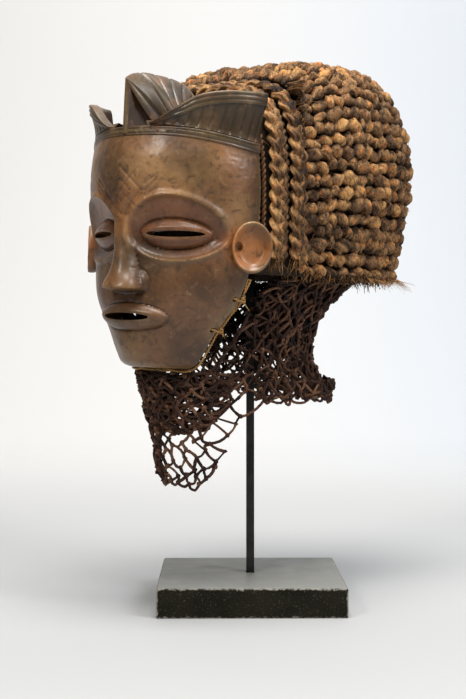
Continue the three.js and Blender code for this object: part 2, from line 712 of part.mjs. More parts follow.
// A closed bonnet-shaped solid, with flat front and underside.
function bonnet(sizes, rows, columns, tuck, knob) {
  const ups = evenly((u) => bonnetPoint(0.5, u, sizes, tuck), rows).slice(0, -1);
  const rounds = evenly((u) => bonnetPoint(u, 0, sizes, tuck), columns);
  const points = [];
  ups.forEach((up, j) => rounds.forEach((round, i) => {
    const here = bonnetPoint(round, up, sizes, tuck);
    const edge = j === 0 || i === 0 || i === columns;
    const hub = [0, WIG_MIDDLE_Y, mix(WIG_BOTTOM_Z, sizes.top, 0.35)];
    const away = new THREE.Vector3(...here).sub(new THREE.Vector3(...hub)).normalize();
    if (edge) away.set(away.x, 0, j === 0 ? 0 : away.z);
    const stand = j % 2 ? -1 : [1, 0.1][(i + (j % 4) / 2) % 2];
    const rise = j === 0 ? 0 : knob * stand * ease(ups.length - j, 0, KNOB_FADE_ROWS);
    points.push([here[0] + away.x * rise, here[1] + away.y * rise, here[2] + away.z * rise]);
  }));
  const pole = points.push([0, sizes.frontY, bonnetPoint(0.5, 1, sizes, tuck)[2]]) - 1;
  const at = (j, i) => j * (columns + 1) + i;
  const triangles = [];
  for (let j = 0; j + 1 < ups.length; j += 1) {
    for (let i = 0; i < columns; i += 1) {
      triangles.push(...quad(points, at(j, i), at(j, i + 1), at(j + 1, i + 1), at(j + 1, i)));
    }
    triangles.push(...quad(points, at(j, columns), at(j, 0), at(j + 1, 0), at(j + 1, columns)));
  }
  const last = ups.length - 1;
  for (let i = 0; i < columns; i += 1) triangles.push([at(last, i), at(last, i + 1), pole]);
  triangles.push([at(last, columns), at(last, 0), pole]);
  for (let i = 0; i < columns / 2; i += 1) {
    const mirrored = columns - i;
    if (mirrored - i > 2) {
      triangles.push(...quad(points, at(0, i + 1), at(0, i), at(0, mirrored), at(0, mirrored - 1)));
    } else if (mirrored - i === 2) {
      triangles.push([at(0, i + 1), at(0, i), at(0, mirrored)]);
    }
  }
  return solidFrom(points, triangles);
}

function fibreWig() {
  const outer = {
    halfWidth: WIG_HALF_WIDTH,
    halfDepth: WIG_HALF_DEPTH,
    top: WIG_TOP_Z,
    frontY: wigFrontY,
  };
  const inner = {
    halfWidth: WIG_HALF_WIDTH - WIG_WALL,
    halfDepth: WIG_HALF_DEPTH - WIG_WALL,
    top: WIG_TOP_Z - WIG_WALL,
    frontY: wigFrontY - 1,
  };
  const hollow = bonnet(inner, 7, 12, 0, 0);
  const cap = bonnet(outer, WIG_ROWS, WIG_COLUMNS, WIG_TUCK, KNOB_DEPTH).subtract(hollow);
  return [1, -1].map((side) => cap.trimByPlane([side, 0, 0], CLEARANCE / 2).simplify(SMOOTHNESS));
}

// The band of the wig that reaches forward to the wood and carries the plaits and cords.
function wigBand() {
  const archRing = (y, inset, topInset, low) => {
    const { halfWidth, top } = lipAt(y);
    const path = archPath(y, halfWidth - inset, top - topInset, WIG_BOTTOM_Z + 0.01, 16);
    return [[path[0][0], y, low], ...path.slice(1, -1), [path.at(-1)[0], y, low]];
  };
  const back = wigFrontY - CLEARANCE;
  const lip = loft([archRing(lipFrontY, 0, 0, WIG_BOTTOM_Z), archRing(back, 0, 0, WIG_BOTTOM_Z)]);
  const deep = LIP_FRONT_TOP_Z - (CHIN_Z + roofTop);
  const gap = loft([
    archRing(lipFrontY - LIP_WALL, LIP_WALL, deep, WIG_BOTTOM_Z - LIP_WALL),
    archRing(back + LIP_WALL, LIP_WALL, deep, WIG_BOTTOM_Z - LIP_WALL),
  ]);
  return lip.subtract(gap);
}

// Neck net

// A point of the net's middle surface: angle 0 is the chin, share 0 the top edge and 1 the hem.
function netPoint(angle, share) {
  const c = Math.cos(angle);
  const s = Math.sin(angle);
  const flap = ease(c, ...NET_FLAP_EDGES);
  const side = ease(-c, -0.7, -0.1);
  const halfWidth = mix(mix(NET_JAW_HALF_WIDTH, NET_TOP_HALF_WIDTH, side), NET_LOW_HALF_WIDTH, share);
  const reach = c > 0 ? mix(NET_TOP_FRONT, NET_LOW_FRONT, share) : mix(NET_TOP_BACK, NET_LOW_BACK, share);
  const pull = 1 - NET_WAIST * Math.sin(Math.PI * share) * (1 - flap);
  const narrow = 1 - NET_FLAP_NARROWING * share * flap;
  const sideTop = WIG_BOTTOM_Z - CLEARANCE - NET_STRAND / 2;
  const chinTop = CHIN_Z - LASHING_DIAMETER - NET_STRAND / 2 - 3 * CLEARANCE;
  const top = mix(sideTop, chinTop, ease(c, 0.3, 0.92));
  const hem = mix(sideTop - NET_SIDE_LENGTH, chinTop - NET_FLAP_LENGTH, flap);
  return new THREE.Vector3(
    halfWidth * s * pull * narrow,
    NET_MIDDLE_Y - reach * c * pull,
    mix(top, hem, share),
  );
}

// One upright panel of the net, as strands of diamond section: a ridge outside, a ridge inside,
// and an edge in each mesh. The strand between two panels is halved along its length.
function netPanel(panel) {
  const radius = NET_STRAND / 2;
  const columns = NET_COLUMNS / NET_PANELS;
  const first = panel * columns;
  const points = [];
  const outerRidge = [];
  const innerRidge = [];
  const place = (i, j) => {
    const wobble = j > 0 && j < NET_ROWS ? NET_WOBBLE : 0;
    const k = i % NET_COLUMNS;
    const turn = i + wobble * Math.sin(2.3 * k + 4.1 * j);
    const share = (j + wobble * Math.sin(3.7 * k + 1.9 * j)) / NET_ROWS;
    return { angle: (2 * Math.PI * turn) / NET_COLUMNS, share };
  };
  const directionsAt = ({ angle, share }) => {
    const step = 0.01;
    const round = netPoint(angle + step, share).sub(netPoint(angle - step, share));
    const down = netPoint(angle, share + step).sub(netPoint(angle, share - step));
    return { round: round.clone().normalize(), normal: round.cross(down).normalize() };
  };
  for (let j = 0; j <= NET_ROWS; j += 1) {
    for (let i = 0; i <= columns; i += 1) {
      const here = place(first + i, j);
      const { round, normal } = directionsAt(here);
      const inward = i === 0 ? CLEARANCE : (i === columns ? -CLEARANCE : 0);
      const middle = netPoint(here.angle, here.share).addScaledVector(round, inward);
      outerRidge.push(points.push(middle.clone().addScaledVector(normal, radius).toArray()) - 1);
      innerRidge.push(points.push(middle.clone().addScaledVector(normal, -radius).toArray()) - 1);
    }
  }
  const knot = (i, j) => j * (columns + 1) + i;
  const triangles = [];
  for (let j = 0; j < NET_ROWS; j += 1) {
    for (let i = 0; i < columns; i += 1) {
      const corners = [knot(i, j), knot(i + 1, j), knot(i + 1, j + 1), knot(i, j + 1)];
      const middles = corners.map((k) => {
        const outside = new THREE.Vector3(...points[outerRidge[k]]);
        return outside.add(new THREE.Vector3(...points[innerRidge[k]])).multiplyScalar(0.5);
      });
      const centre = new THREE.Vector3();
      for (const corner of middles) centre.addScaledVector(corner, 0.25);
      const hole = middles.map((corner) => {
        const reach = corner.distanceTo(centre);
        const inset = Math.min((1.5 * radius) / reach, 0.45);
        return points.push(corner.clone().lerp(centre, inset).toArray()) - 1;
      });
      for (let k = 0; k < 4; k += 1) {
        const next = (k + 1) % 4;
        const [here, there] = [corners[k], corners[next]];
        triangles.push(...quad(points, outerRidge[here], outerRidge[there], hole[next], hole[k]));
        triangles.push(...quad(points, hole[k], hole[next], innerRidge[there], innerRidge[here]));
      }
    }
  }
  const closeEdge = (a, b) => {
    triangles.push(...quad(points, innerRidge[a], innerRidge[b], outerRidge[b], outerRidge[a]));
  };
  for (let i = 0; i < columns; i += 1) {
    closeEdge(knot(i, 0), knot(i + 1, 0));
    closeEdge(knot(i + 1, NET_ROWS), knot(i, NET_ROWS));
  }
  for (let j = 0; j < NET_ROWS; j += 1) {
    closeEdge(knot(columns, j), knot(columns, j + 1));
    closeEdge(knot(0, j + 1), knot(0, j));
  }
  return solidFrom(points, triangles);
}

// Stand

function standBase() {
  const half = [BASE_WIDTH / 2 - BASE_CHAMFER, BASE_DEPTH / 2 - BASE_CHAMFER];
  const outline = new THREE.Shape([
    new THREE.Vector2(-half[0], -half[1]),
    new THREE.Vector2(half[0], -half[1]),
    new THREE.Vector2(half[0], half[1]),
    new THREE.Vector2(-half[0], half[1]),
  ]);
  const block = new THREE.ExtrudeGeometry(outline, {
    depth: BASE_HEIGHT - 2 * BASE_CHAMFER,
    bevelThickness: BASE_CHAMFER,
    bevelSize: BASE_CHAMFER,
    bevelSegments: 1,
  });
  block.translate(0, 0, BASE_CHAMFER);
  const socketWidth = ROD_WIDTH + 2 * CLEARANCE;
  const socket = new THREE.BoxGeometry(socketWidth, socketWidth, 2 * ROD_SOCKET_DEPTH);
  socket.translate(0, 0, BASE_HEIGHT);
  return solidOf(block).subtract(solidOf(socket));
}

function upright(width, bottom, top) {
  return new THREE.BoxGeometry(width, width, top - bottom).translate(0, 0, (top + bottom) / 2);
}

// Assembly

const [rightWig, leftWig] = fibreWig();
const turned = new THREE.Group();
turned.rotation.set(0, HEAD_TILT, -HEAD_TURN, "ZYX");
turned.position.set(0, 0, HEAD_PIVOT_Z);
const head = new THREE.Group();
head.position.set(0, 0, -HEAD_PIVOT_Z);
turned.add(head);
head.add(
  meshOf(carvedMask(), "carved_mask", WOOD),
  meshOf(rightWig, "wig_right", WIG_FIBRE),
  meshOf(leftWig, "wig_left", WIG_FIBRE),
  meshOf(wigBand(), "wig_band", WIG_FIBRE),
  meshOf(plait(innerPlaitY), "inner_plait", PLAIT_FIBRE),
  meshOf(plait(outerPlaitY), "outer_plait", PLAIT_FIBRE),
  meshOf(archCord(frontCordY, EDGE_CORD_DIAMETER), "front_edge_cord", PLAIT_FIBRE),
  meshOf(archCord(backCordY, EDGE_CORD_DIAMETER), "back_edge_cord", PLAIT_FIBRE),
  meshOf(archCord(dividerCordY, DIVIDER_CORD_DIAMETER), "divider_cord", PLAIT_FIBRE),
  meshOf(lashingCord(), "lashing_cord", CORD_FIBRE),
);
for (let panel = 0; panel < NET_PANELS; panel += 1) {
  head.add(meshOf(netPanel(panel), `neck_net_${panel + 1}`, NET_FIBRE));
}
turned.updateMatrixWorld(true);

// The rod reaches up inside the head until it meets the underside of the wig's crown.
const rodFoot = BASE_HEIGHT - ROD_SOCKET_DEPTH + CLEARANCE;
const rodColumn = solidOf(upright(ROD_WIDTH, rodFoot, WIG_TOP_Z + WIG_WALL));
const crown = rightWig.add(leftWig).transform(head.matrixWorld.elements).intersect(rodColumn);
const rodTop = crown.boundingBox().min[2] - CLEARANCE;

const group = new THREE.Group();
group.add(
  meshOf(standBase(), "stand_base", STAND_BLOCK),
  meshOf(solidOf(upright(ROD_WIDTH, rodFoot, rodTop)), "stand_rod", STAND_STEEL),
  turned,
);

export default group;
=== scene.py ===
"""Looks of a Chokwe mwana pwo mask: carved wood, knotted fibre wig, plaits, cords, net and stand.

Shapes are worked out in millimetres in the head's own frame, where the head looks along -Y with
the rod's line at x = 0, y = 0, and are then turned with the head and written in metres.
"""

import math

import bpy
import numpy as np
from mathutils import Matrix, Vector


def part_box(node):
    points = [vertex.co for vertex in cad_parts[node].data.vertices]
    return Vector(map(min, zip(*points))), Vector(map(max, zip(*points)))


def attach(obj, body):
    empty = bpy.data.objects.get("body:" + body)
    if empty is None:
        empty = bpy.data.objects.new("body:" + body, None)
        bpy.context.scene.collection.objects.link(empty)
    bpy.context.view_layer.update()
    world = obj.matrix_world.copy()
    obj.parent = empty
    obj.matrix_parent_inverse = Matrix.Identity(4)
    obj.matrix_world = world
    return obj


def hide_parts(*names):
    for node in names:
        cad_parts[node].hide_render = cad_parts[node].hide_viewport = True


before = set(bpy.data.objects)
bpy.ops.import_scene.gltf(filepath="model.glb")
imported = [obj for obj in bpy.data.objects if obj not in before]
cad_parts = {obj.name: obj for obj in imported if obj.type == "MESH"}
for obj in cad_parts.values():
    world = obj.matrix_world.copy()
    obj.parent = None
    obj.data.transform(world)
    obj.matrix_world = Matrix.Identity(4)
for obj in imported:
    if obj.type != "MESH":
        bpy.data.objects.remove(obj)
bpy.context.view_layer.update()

# Pose of the head on its rod
HEAD_TURN = math.radians(40)
HEAD_TILT = math.radians(2.2)
HEAD_PIVOT_Z = 330

# Carved face: the face height is the chin to the hairline, in three equal parts
CHIN_Z = 209
FACE_HEIGHT = 184
THIRD = FACE_HEIGHT / 3
FACE_HALF_WIDTH = 86
WOOD_REAR_Y = -95
FOREHEAD_DEPTH = 70
SECTION_POWER = 2 / 1.7
WOOD_WALL = 8
BAND_HEIGHT = 8
BAND_RISE = 1.6
BAND_DROP = 11
ROOF_THICKNESS = 9
WIDTH_KEYS = [[0, 0.4], [0.03, 0.47], [0.17, 0.63], [0.31, 0.84], [0.55, 0.96], [0.75, 1], [1, 0.97]]
DEPTH_KEYS = [
    [0, 0.34], [0.03, 0.42], [0.17, 0.6], [0.5, 0.86], [0.75, 0.98], [0.9, 1], [1, 0.95], [1.1, 0.87],
]
REAR_KEYS = [[0, -18], [0.17, -12], [0.45, -2], [0.7, 0], [1, 0]]
FACE_COLUMNS = 248
FACE_ROW_STEP = 0.9

MOUTH_V = THIRD * 0.67
NOSE_BASE_V = THIRD
EYE_V = THIRD * 1.75
BROW_V = THIRD * 2
EYE_X = 40
EYE_HALF = (27, 12)
EYE_SLIT_HALF = (21, 2.6)
EYE_BULGE = 7.5
SOCKET_HALF_WIDTH = 34
SOCKET_UP = 30
SOCKET_DOWN = 21
SOCKET_DEPTH = 9
SOCKET_RIM = 1.6
NOSE_HEIGHT = 21
NOSE_HALF_WIDTH = 17
NOSE_BRIDGE_HALF_WIDTH = 7
NOSE_BRIDGE_HEIGHT = 2
LIP_HALF_WIDTH = 33
LIP_HEIGHT = 11
LIP_RISE = 6
MOUTH_SLIT_HALF = (24, 3)
# Swellings of the face: side, height above the chin, spread across, spread up, rise
SWELLS = [
    (0, THIRD * 2.5, 40, 26, 2.5),
    (0, MOUTH_V, 26, 18, 5),
    (0, 13, 15, 9, 4),
    (46, THIRD * 1.05, 16, 17, 3),
]
NOSTRIL_SWELL = (12.5, NOSE_BASE_V + 7, 4.5, 5, 3.5)

EAR_CENTRE = (FACE_HALF_WIDTH, WOOD_REAR_Y - 9, CHIN_Z + 0.533 * FACE_HEIGHT)
EAR_HALF = (16, 20.5)
EAR_THICKNESS = 8
EAR_TURN = math.radians(45)
EAR_HOLE_HALF = (3.9, 7.5, 4.6)

LASHING_HOLE_DIAMETER = 4
LASHING_HOLE_V = (32, 57)
LASHING_HOLE_INSET = 5

# Crest
CREST_GAP_ANGLE = math.radians(19)
SIDE_LOBE_RISE = 28
SIDE_LOBE_FLARE = 5
SIDE_LOBE_THICKNESS = 9
SIDE_LOBE_FLUTES = 11
SIDE_LOBE_RIM = 10
CENTRE_LOBE_HALF_WIDTH = 33
CENTRE_LOBE_RISE = 46
CENTRE_LOBE_SWEEP = 30
CENTRE_LOBE_RIBS = 4
CENTRE_RIDGE_KEYS = [[0, 0.84], [0.12, 0.93], [0.3, 0.99], [0.5, 1], [0.8, 0.99], [1, 0.94]]
CENTRE_WIDTH_KEYS = [[0, 0.76], [0.3, 1], [1, 1]]
KEEL_WIDTH = 5
KEEL_EDGE_WIDTH = 2.4
KEEL_RECESS = 6
MOUTH_LIP = 3.5
LOBE_ROOT = 6

# Plaits and cords over the join of wood and wig
CORD_GAP = 2.5
CORD_SEAT = 1.2
EDGE_CORD_DIAMETER = 3.4
PLAIT_WIDTH = 14
PLAIT_PERIOD = 34
PLAIT_SINK = 1.2
DIVIDER_CORD_DIAMETER = 3
PLAIT_END_Z = 300

# Fibre wig
WIG_BOTTOM_Z = 287
WIG_TOP_Z = 465
WIG_CROWN_RISE = 13
WIG_HALF_WIDTH = 104
WIG_FRONT_TAPER = 0.08
WIG_FRONT_TAPER_LENGTH = 70
WIG_MIDDLE_Y = 20
WIG_HALF_DEPTH = 121
WIG_WALL = 30
WIG_TUCK = 0.07
WIG_PLAN_POWER = 2 / 3.8
WIG_FRONT_DROP = 9
WIG_FRONT_DROP_LENGTH = 34
WIG_SIDE_POWER = 2 / 4.8
ARCH_POWER = 2 / 4.6
LIP_FRONT = (77.5, 427)
LIP_BACK = (87, 442)
LIP_WALL = 6
GROUND_INSET = 7.5
KNOT_ROW_SPACING = 11.4
KNOT_LENGTH = 13
KNOT_DEPTH = 6.0
KNOT_SINK = 2.6
KNOT_TWIST = 2.4
KNOT_SIDES = 20
KNOT_STATIONS = 7
KNOTS_PARTED_Z = 385
STRAY_COUNT = 1500
CORNER_STRAYS = 70
TIED_ROWS = 17

# Neck net
NET_MIDDLE_Y = -12
NET_TOP_HALF_WIDTH = 80
NET_JAW_HALF_WIDTH = 66
NET_TOP_FRONT = 108
NET_TOP_BACK = 127
NET_LOW_HALF_WIDTH = 62
NET_LOW_FRONT = 82
NET_LOW_BACK = 112
NET_WAIST = 0.3
NET_SIDE_LENGTH = 102
NET_FLAP_LENGTH = 91
NET_FLAP_NARROWING = 0.26
NET_FLAP_EDGES = (0.52, 0.84)
NET_COLUMNS = 44
NET_ROWS = 24
NET_TWINE_RADIUS = 1.35
NET_ROLL_RADIUS = 8.5
# Painted shade: layers drawn further in get darker lightest tones.
# Folded layers of the net: columns, rows, squeeze, reach down, front edge, lightest tone
FOLD_LAYERS = [
    ("net_folds", [(42, 12, 0.95, 84, 0.62, 0.7), (40, 10, 0.88, 66, 0.55, 0.5)]),
    ("net_gathers", [(38, 8, 0.82, 56, 0.5, 0.4), (36, 7, 0.76, 50, 0.5, 0.3)]),
]
# Further layers in the flap: columns, squeeze, seed
FLAP_LAYERS = [(46, 0.95, 91), (40, 0.86, 92), (43, 0.99, 95)]
# Layers tucked up behind the mouth: depth, seed
TUCKED_LAYERS = [(6, 93), (13, 94)]

LASHING_DIAMETER = 3
LASHING_PLY = 0.95
LASHING_PITCH = 5.0
CLEARANCE = 0.3


# General helpers


def mix(a, b, t):
    return a + (b - a) * t


def ease(value, low, high):
    t = np.clip((np.asarray(value, float) - low) / (high - low), 0, 1)
    return t * t * (3 - 2 * t)


def power(value, exponent):
    return np.sign(value) * np.abs(value) ** exponent


def hill(distance, spread):
    return np.exp(-0.5 * (distance / spread) ** 2)


def unit(vectors):
    return vectors / np.maximum(np.linalg.norm(vectors, axis=-1, keepdims=True), 1e-9)


def along(keys, position):
    """The smooth curve through [position, value] keys, read at many positions."""
    x, y = np.array(keys, float).T
    position = np.clip(np.asarray(position, float), x[0], x[-1])
    k = np.clip(np.searchsorted(x, position, side="right") - 1, 0, len(x) - 2)
    index = np.arange(len(x))
    before = np.maximum(index - 1, 0)
    after = np.minimum(index + 1, len(x) - 1)
    slope = (y[after] - y[before]) / (x[after] - x[before])
    width = x[k + 1] - x[k]
    u = (position - x[k]) / width
    rise = y[k + 1] - y[k]
    bend = (1 - u) * (slope[k] * width - rise) - u * (slope[k + 1] * width - rise)
    return y[k] + rise * u + u * (1 - u) * bend


def lengths_of(path):
    """The length along a path at each of its points."""
    return np.concatenate([[0], np.cumsum(np.linalg.norm(np.diff(path, axis=0), axis=1))])


def evenly(curve, steps, samples=800):
    """Parameters from 0 to 1 that cut a curve into stretches of equal length, and its length."""
    u = 0.5 - 0.5 * np.cos(np.pi * np.linspace(0, 1, samples + 1))
    lengths = lengths_of(curve(u))
    return np.interp(np.linspace(0, lengths[-1], steps + 1), lengths, u), lengths[-1]


def round_angles(count):
    """Angles once round, in equal steps."""
    return 2 * np.pi * np.arange(count) / count


LATTICE = np.random.RandomState(7).rand(32, 32, 32)


def noise(points, size, shift=0.0):
    """Smooth noise between -1 and 1 with lumps of one size."""
    p = np.asarray(points, float) / size + 100.0 + shift
    cell = np.floor(p).astype(int)
    f = p - cell
    f = f * f * (3 - 2 * f)
    total = np.zeros(len(p))
    for dx in (0, 1):
        for dy in (0, 1):
            for dz in (0, 1):
                weight = np.abs(1 - dx - f[:, 0]) * np.abs(1 - dy - f[:, 1]) * np.abs(1 - dz - f[:, 2])
                i, j, k = (cell + (dx, dy, dz)).T % 32
                total += weight * LATTICE[i, j, k]
    return 2 * total - 1


def to_world(points):
    """Points of the head's frame in millimetres, as points of the object's frame in metres."""
    p = np.asarray(points, float) - (0, 0, HEAD_PIVOT_Z)
    c, s = math.cos(HEAD_TILT), math.sin(HEAD_TILT)
    x, y, z = c * p[:, 0] + s * p[:, 2], p[:, 1], -s * p[:, 0] + c * p[:, 2]
    c, s = math.cos(-HEAD_TURN), math.sin(-HEAD_TURN)
    return np.stack([c * x - s * y, s * x + c * y, z + HEAD_PIVOT_Z], axis=1) / 1000


class Shape:
    """Points, faces and a tone for each point, gathered from many parts."""

    def __init__(self):
        self.points, self.quads, self.triangles, self.tones = [], [], [], []
        self.count = 0

    def add(self, points, quads=(), triangles=(), tone=0.5):
        points = np.asarray(points, float).reshape(-1, 3)
        self.points.append(points)
        self.tones.append(np.broadcast_to(np.asarray(tone, float), (len(points),)))
        if len(quads):
            self.quads.append(np.asarray(quads) + self.count)
        if len(triangles):
            self.triangles.append(np.asarray(triangles) + self.count)
        self.count += len(points)
        return self

    def arrays(self):
        points = np.concatenate(self.points)
        quads = np.concatenate(self.quads) if self.quads else np.zeros((0, 4), int)
        triangles = np.concatenate(self.triangles) if self.triangles else np.zeros((0, 3), int)
        return points, quads, triangles, np.concatenate(self.tones)

    def mesh(self, name):
        points, quads, triangles, tones = self.arrays()
        mesh = bpy.data.meshes.new(name)
        mesh.vertices.add(len(points))
        mesh.vertices.foreach_set("co", to_world(points).ravel())
        corners = np.concatenate([quads.ravel(), triangles.ravel()]).astype(np.int32)
        sizes = np.concatenate([np.full(len(quads), 4), np.full(len(triangles), 3)])
        starts = np.concatenate([[0], np.cumsum(sizes)[:-1]]).astype(np.int32)
        mesh.loops.add(len(corners))
        mesh.loops.foreach_set("vertex_index", corners)
        mesh.polygons.add(len(sizes))
        mesh.polygons.foreach_set("loop_start", starts)
        mesh.update(calc_edges=True)
        mesh.validate()
        layer = mesh.attributes.new("tone", "FLOAT", "POINT")
        layer.data.foreach_set("value", tones.astype(np.float32))
        return mesh


def new_object(name, mesh):
    piece = bpy.data.objects.new(name, mesh)
    bpy.context.scene.collection.objects.link(piece)
    return piece


def dress(piece, material, slot, *nodes):
    """Gives a piece its material, its place in the frame and the nodes that it replaces."""
    piece.data.materials.clear()
    piece.data.materials.append(material)
    piece.data.shade_smooth()
    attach(piece, "root")
    if nodes:
        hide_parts(*nodes)


def make(name, shape, material, slot, *nodes):
    """A dressed piece with the mesh of a shape."""
    dress(new_object(name, shape.mesh(name)), material, slot, *nodes)


def capped(rows, columns):
    """Faces of a tube of rings: quads round it, and fans to the two hubs that follow the rings."""
    i = np.arange(columns)
    after = (i + 1) % columns
    j = columns * np.arange(rows - 1)[:, None]
    quads = np.stack([j + i, j + after, j + after + columns, j + i + columns], axis=-1).reshape(-1, 4)
    last = (rows - 1) * columns
    hub = np.full(columns, rows * columns)
    first_end = np.stack([after, i, hub], axis=-1)
    last_end = np.stack([last + i, last + after, hub + 1], axis=-1)
    return quads, np.concatenate([first_end, last_end])


def outward(points, quads, triangles):
    """The faces of a closed shape, turned over where they face inwards."""
    volume = 0
    for faces in (triangles, quads[:, [0, 1, 2]], quads[:, [0, 2, 3]]):
        c = points[faces]
        volume += np.einsum("ij,ij->i", c[:, 0], np.cross(c[:, 1], c[:, 2])).sum()
    return (quads[:, ::-1], triangles[:, ::-1]) if volume < 0 else (quads, triangles)


def loft(rings):
    """A closed shape through rings of equally many points."""
    rings = np.asarray(rings, float)
    points = np.concatenate([rings.reshape(-1, 3), [rings[0].mean(0)], [rings[-1].mean(0)]])
    return Shape().add(points, *outward(points, *capped(*rings.shape[:2])))


def join_or_cut(piece, operation, tool):
    """Joins an object to a piece, or cuts it out of the piece, and removes it."""
    modifier = piece.modifiers.new("cut", "BOOLEAN")
    modifier.operation = operation
    modifier.solver = "MANIFOLD"
    modifier.object = tool
    graph = bpy.context.evaluated_depsgraph_get()
    result = bpy.data.meshes.new_from_object(piece.evaluated_get(graph))
    piece.modifiers.clear()
    old = piece.data
    piece.data = result
    bpy.data.meshes.remove(old)
    bpy.data.meshes.remove(tool.data)


def combine(base, steps):
    """Joins and cuts solids: steps are ("UNION" or "DIFFERENCE", shape)."""
    piece = new_object("work_base", base.mesh("work_base"))
    for operation, shape in steps:
        join_or_cut(piece, operation, new_object("work_tool", shape.mesh("work_tool")))
    return piece


def frames(path):
    """Forward, side and up directions along a path, without sudden turns."""
    forward = unit(np.gradient(path, axis=0))
    up = np.zeros_like(path)
    first = np.array([0.0, 0.0, 1.0]) if abs(forward[0][2]) < 0.8 else np.array([0.0, 1.0, 0.0])
    up[0] = unit(first - forward[0] * (first @ forward[0]))
    for k in range(1, len(path)):
        turned = up[k - 1] - forward[k] * (up[k - 1] @ forward[k])
        up[k] = turned / max(np.linalg.norm(turned), 1e-9)
    return forward, np.cross(forward, up), up


def tube(
    shape, path, radius, sides, tone=0.5, flat=1.0, lobes=0, ridge=0.0, twist=0.0, basis=None, streak=0.0
):
    """Adds a tube along a path. Lobes and streaks of tone run along it and twist as it goes; streaked tubes
    also get painted shade on one side.
    """
    path = np.asarray(path, float)
    count = len(path)
    side, up = basis if basis else frames(path)[1:]
    radius = np.broadcast_to(np.asarray(radius, float), (count,))[:, None]
    angle = round_angles(sides)[None, :]
    length = lengths_of(path)[:, None]
    turned = angle + twist * length / max(lobes, 1)
    swell = 1 + ridge * np.cos(lobes * turned)
    across = radius * swell * np.cos(angle)
    high = radius * swell * np.sin(angle) * flat
    rings = path[:, None, :] + across[..., None] * side[:, None, :] + high[..., None] * up[:, None, :]
    points = np.concatenate([rings.reshape(-1, 3), path[:1], path[-1:]])
    tones = np.broadcast_to(np.asarray(tone, float), (count,))[:, None] + 0 * turned
    if streak:
        # Painted shade: a streaked tube is lighter on its up side and darker on the side turned away.
        tones = tones + 0.16 * (np.sin(angle) + 0.1)
        place = np.stack([3.2 * np.cos(turned), 3.2 * np.sin(turned), 0 * turned + length / 14], axis=-1)
        tones = tones + streak * noise(place.reshape(-1, 3), 1.0, float(path[0, 0])).reshape(count, sides)
    shape.add(points, *capped(count, sides), np.concatenate([tones.ravel(), tones[0, :1], tones[-1, :1]]))


def smooth_path(points, step):
    """A smooth path of even steps through a few points."""
    points = np.asarray(points, float)
    t = lengths_of(points)
    wanted = np.linspace(0, t[-1], max(int(t[-1] / step), 4) + 1)
    return np.stack([along(np.stack([t, points[:, k]], axis=1), wanted) for k in range(3)], axis=1)


# Carved wood


def section_at(v):
    t = np.asarray(v, float) / FACE_HEIGHT
    return (
        FACE_HALF_WIDTH * along(WIDTH_KEYS, t),
        FOREHEAD_DEPTH * along(DEPTH_KEYS, t),
        WOOD_REAR_Y + along(REAR_KEYS, t),
    )


def face_plan(angle, v):
    """A point of the plain face and its outward normal in plan, at an angle from the middle."""
    half_width, depth, rear = section_at(v)

    def at(phi):
        return (
            half_width * power(np.sin(phi), SECTION_POWER),
            rear - depth * power(np.maximum(np.cos(phi), 0), SECTION_POWER),
        )

    step, limit = 0.02, math.pi / 2
    x0, y0 = at(np.maximum(angle - step, -limit))
    x1, y1 = at(np.minimum(angle + step, limit))
    length = np.hypot(x1 - x0, y1 - y0)
    x, y = at(angle)
    return x, y, -(y0 - y1) / length, (x0 - x1) / length


def swelling(form, side, v):
    at, up, across, high, rise = form
    return rise * hill(side - at, across) * hill(v - up, high)


def relief(x, v):
    """How far the carving stands out from the plain face, or is cut into it."""
    side = np.abs(x)
    height = sum(swelling(form, side, v) for form in SWELLS)
    reach = np.where(v > EYE_V, SOCKET_UP, SOCKET_DOWN)
    socket = np.hypot((side - EYE_X) / SOCKET_HALF_WIDTH, (v - EYE_V) / reach)
    height -= SOCKET_DEPTH * np.clip(1 - socket**2, 0, 1) ** 0.7
    height += SOCKET_RIM * hill(socket - 1.04, 0.06)
    eye = np.hypot((side - EYE_X) / EYE_HALF[0], (v - EYE_V) / EYE_HALF[1])
    height += EYE_BULGE * np.clip(1 - eye**2, 0, 1) ** 0.6

    down = np.clip((BROW_V - v) / (BROW_V - NOSE_BASE_V), 0, 1)
    nose_half = mix(NOSE_BRIDGE_HALF_WIDTH, NOSE_HALF_WIDTH, down**1.6)
    nose_rise = mix(NOSE_BRIDGE_HEIGHT, NOSE_HEIGHT, down**1.2)
    underside = ease(v, NOSE_BASE_V - 1, NOSE_BASE_V + 2.5)
    above = 1 - ease(v, BROW_V - 6, BROW_V + 14)
    across = np.clip(1 - (side / nose_half) ** 2, 0, 1)
    height += nose_rise * across**0.75 * underside * above
    height += swelling(NOSTRIL_SWELL, side, v) * underside

    open_ = np.clip(1 - (side / LIP_HALF_WIDTH) ** 2, 0, 1)
    lip_reach = np.maximum(LIP_HEIGHT * open_**0.45, 1e-6)
    from_mouth = np.abs(v - MOUTH_V) / lip_reach
    height += LIP_RISE * open_**0.3 * np.clip(1 - from_mouth**2, 0, 1) ** 0.6
    return height


def stroke(x, v, start, end, width):
    """How near a point is to an incised stroke, from 0 to 1 on its line."""
    (x0, v0), (x1, v1) = start, end
    length2 = (x1 - x0) ** 2 + (v1 - v0) ** 2
    t = np.clip(((x - x0) * (x1 - x0) + (v - v0) * (v1 - v0)) / length2, 0, 1)
    return hill(np.hypot(x - x0 - t * (x1 - x0), v - v0 - t * (v1 - v0)), width)


SCAR_CENTRE_V = BROW_V + 19
SCAR_CROSS = 13
SCAR_DIAMONDS = (19, 9)
SCAR_RAYS = [((22, 4), (29, 10)), ((22, -1), (31, 7)), ((23, -6), (31, 1))]
SCAR_WIDTH = 0.62
SCAR_DEPTH = 0.75


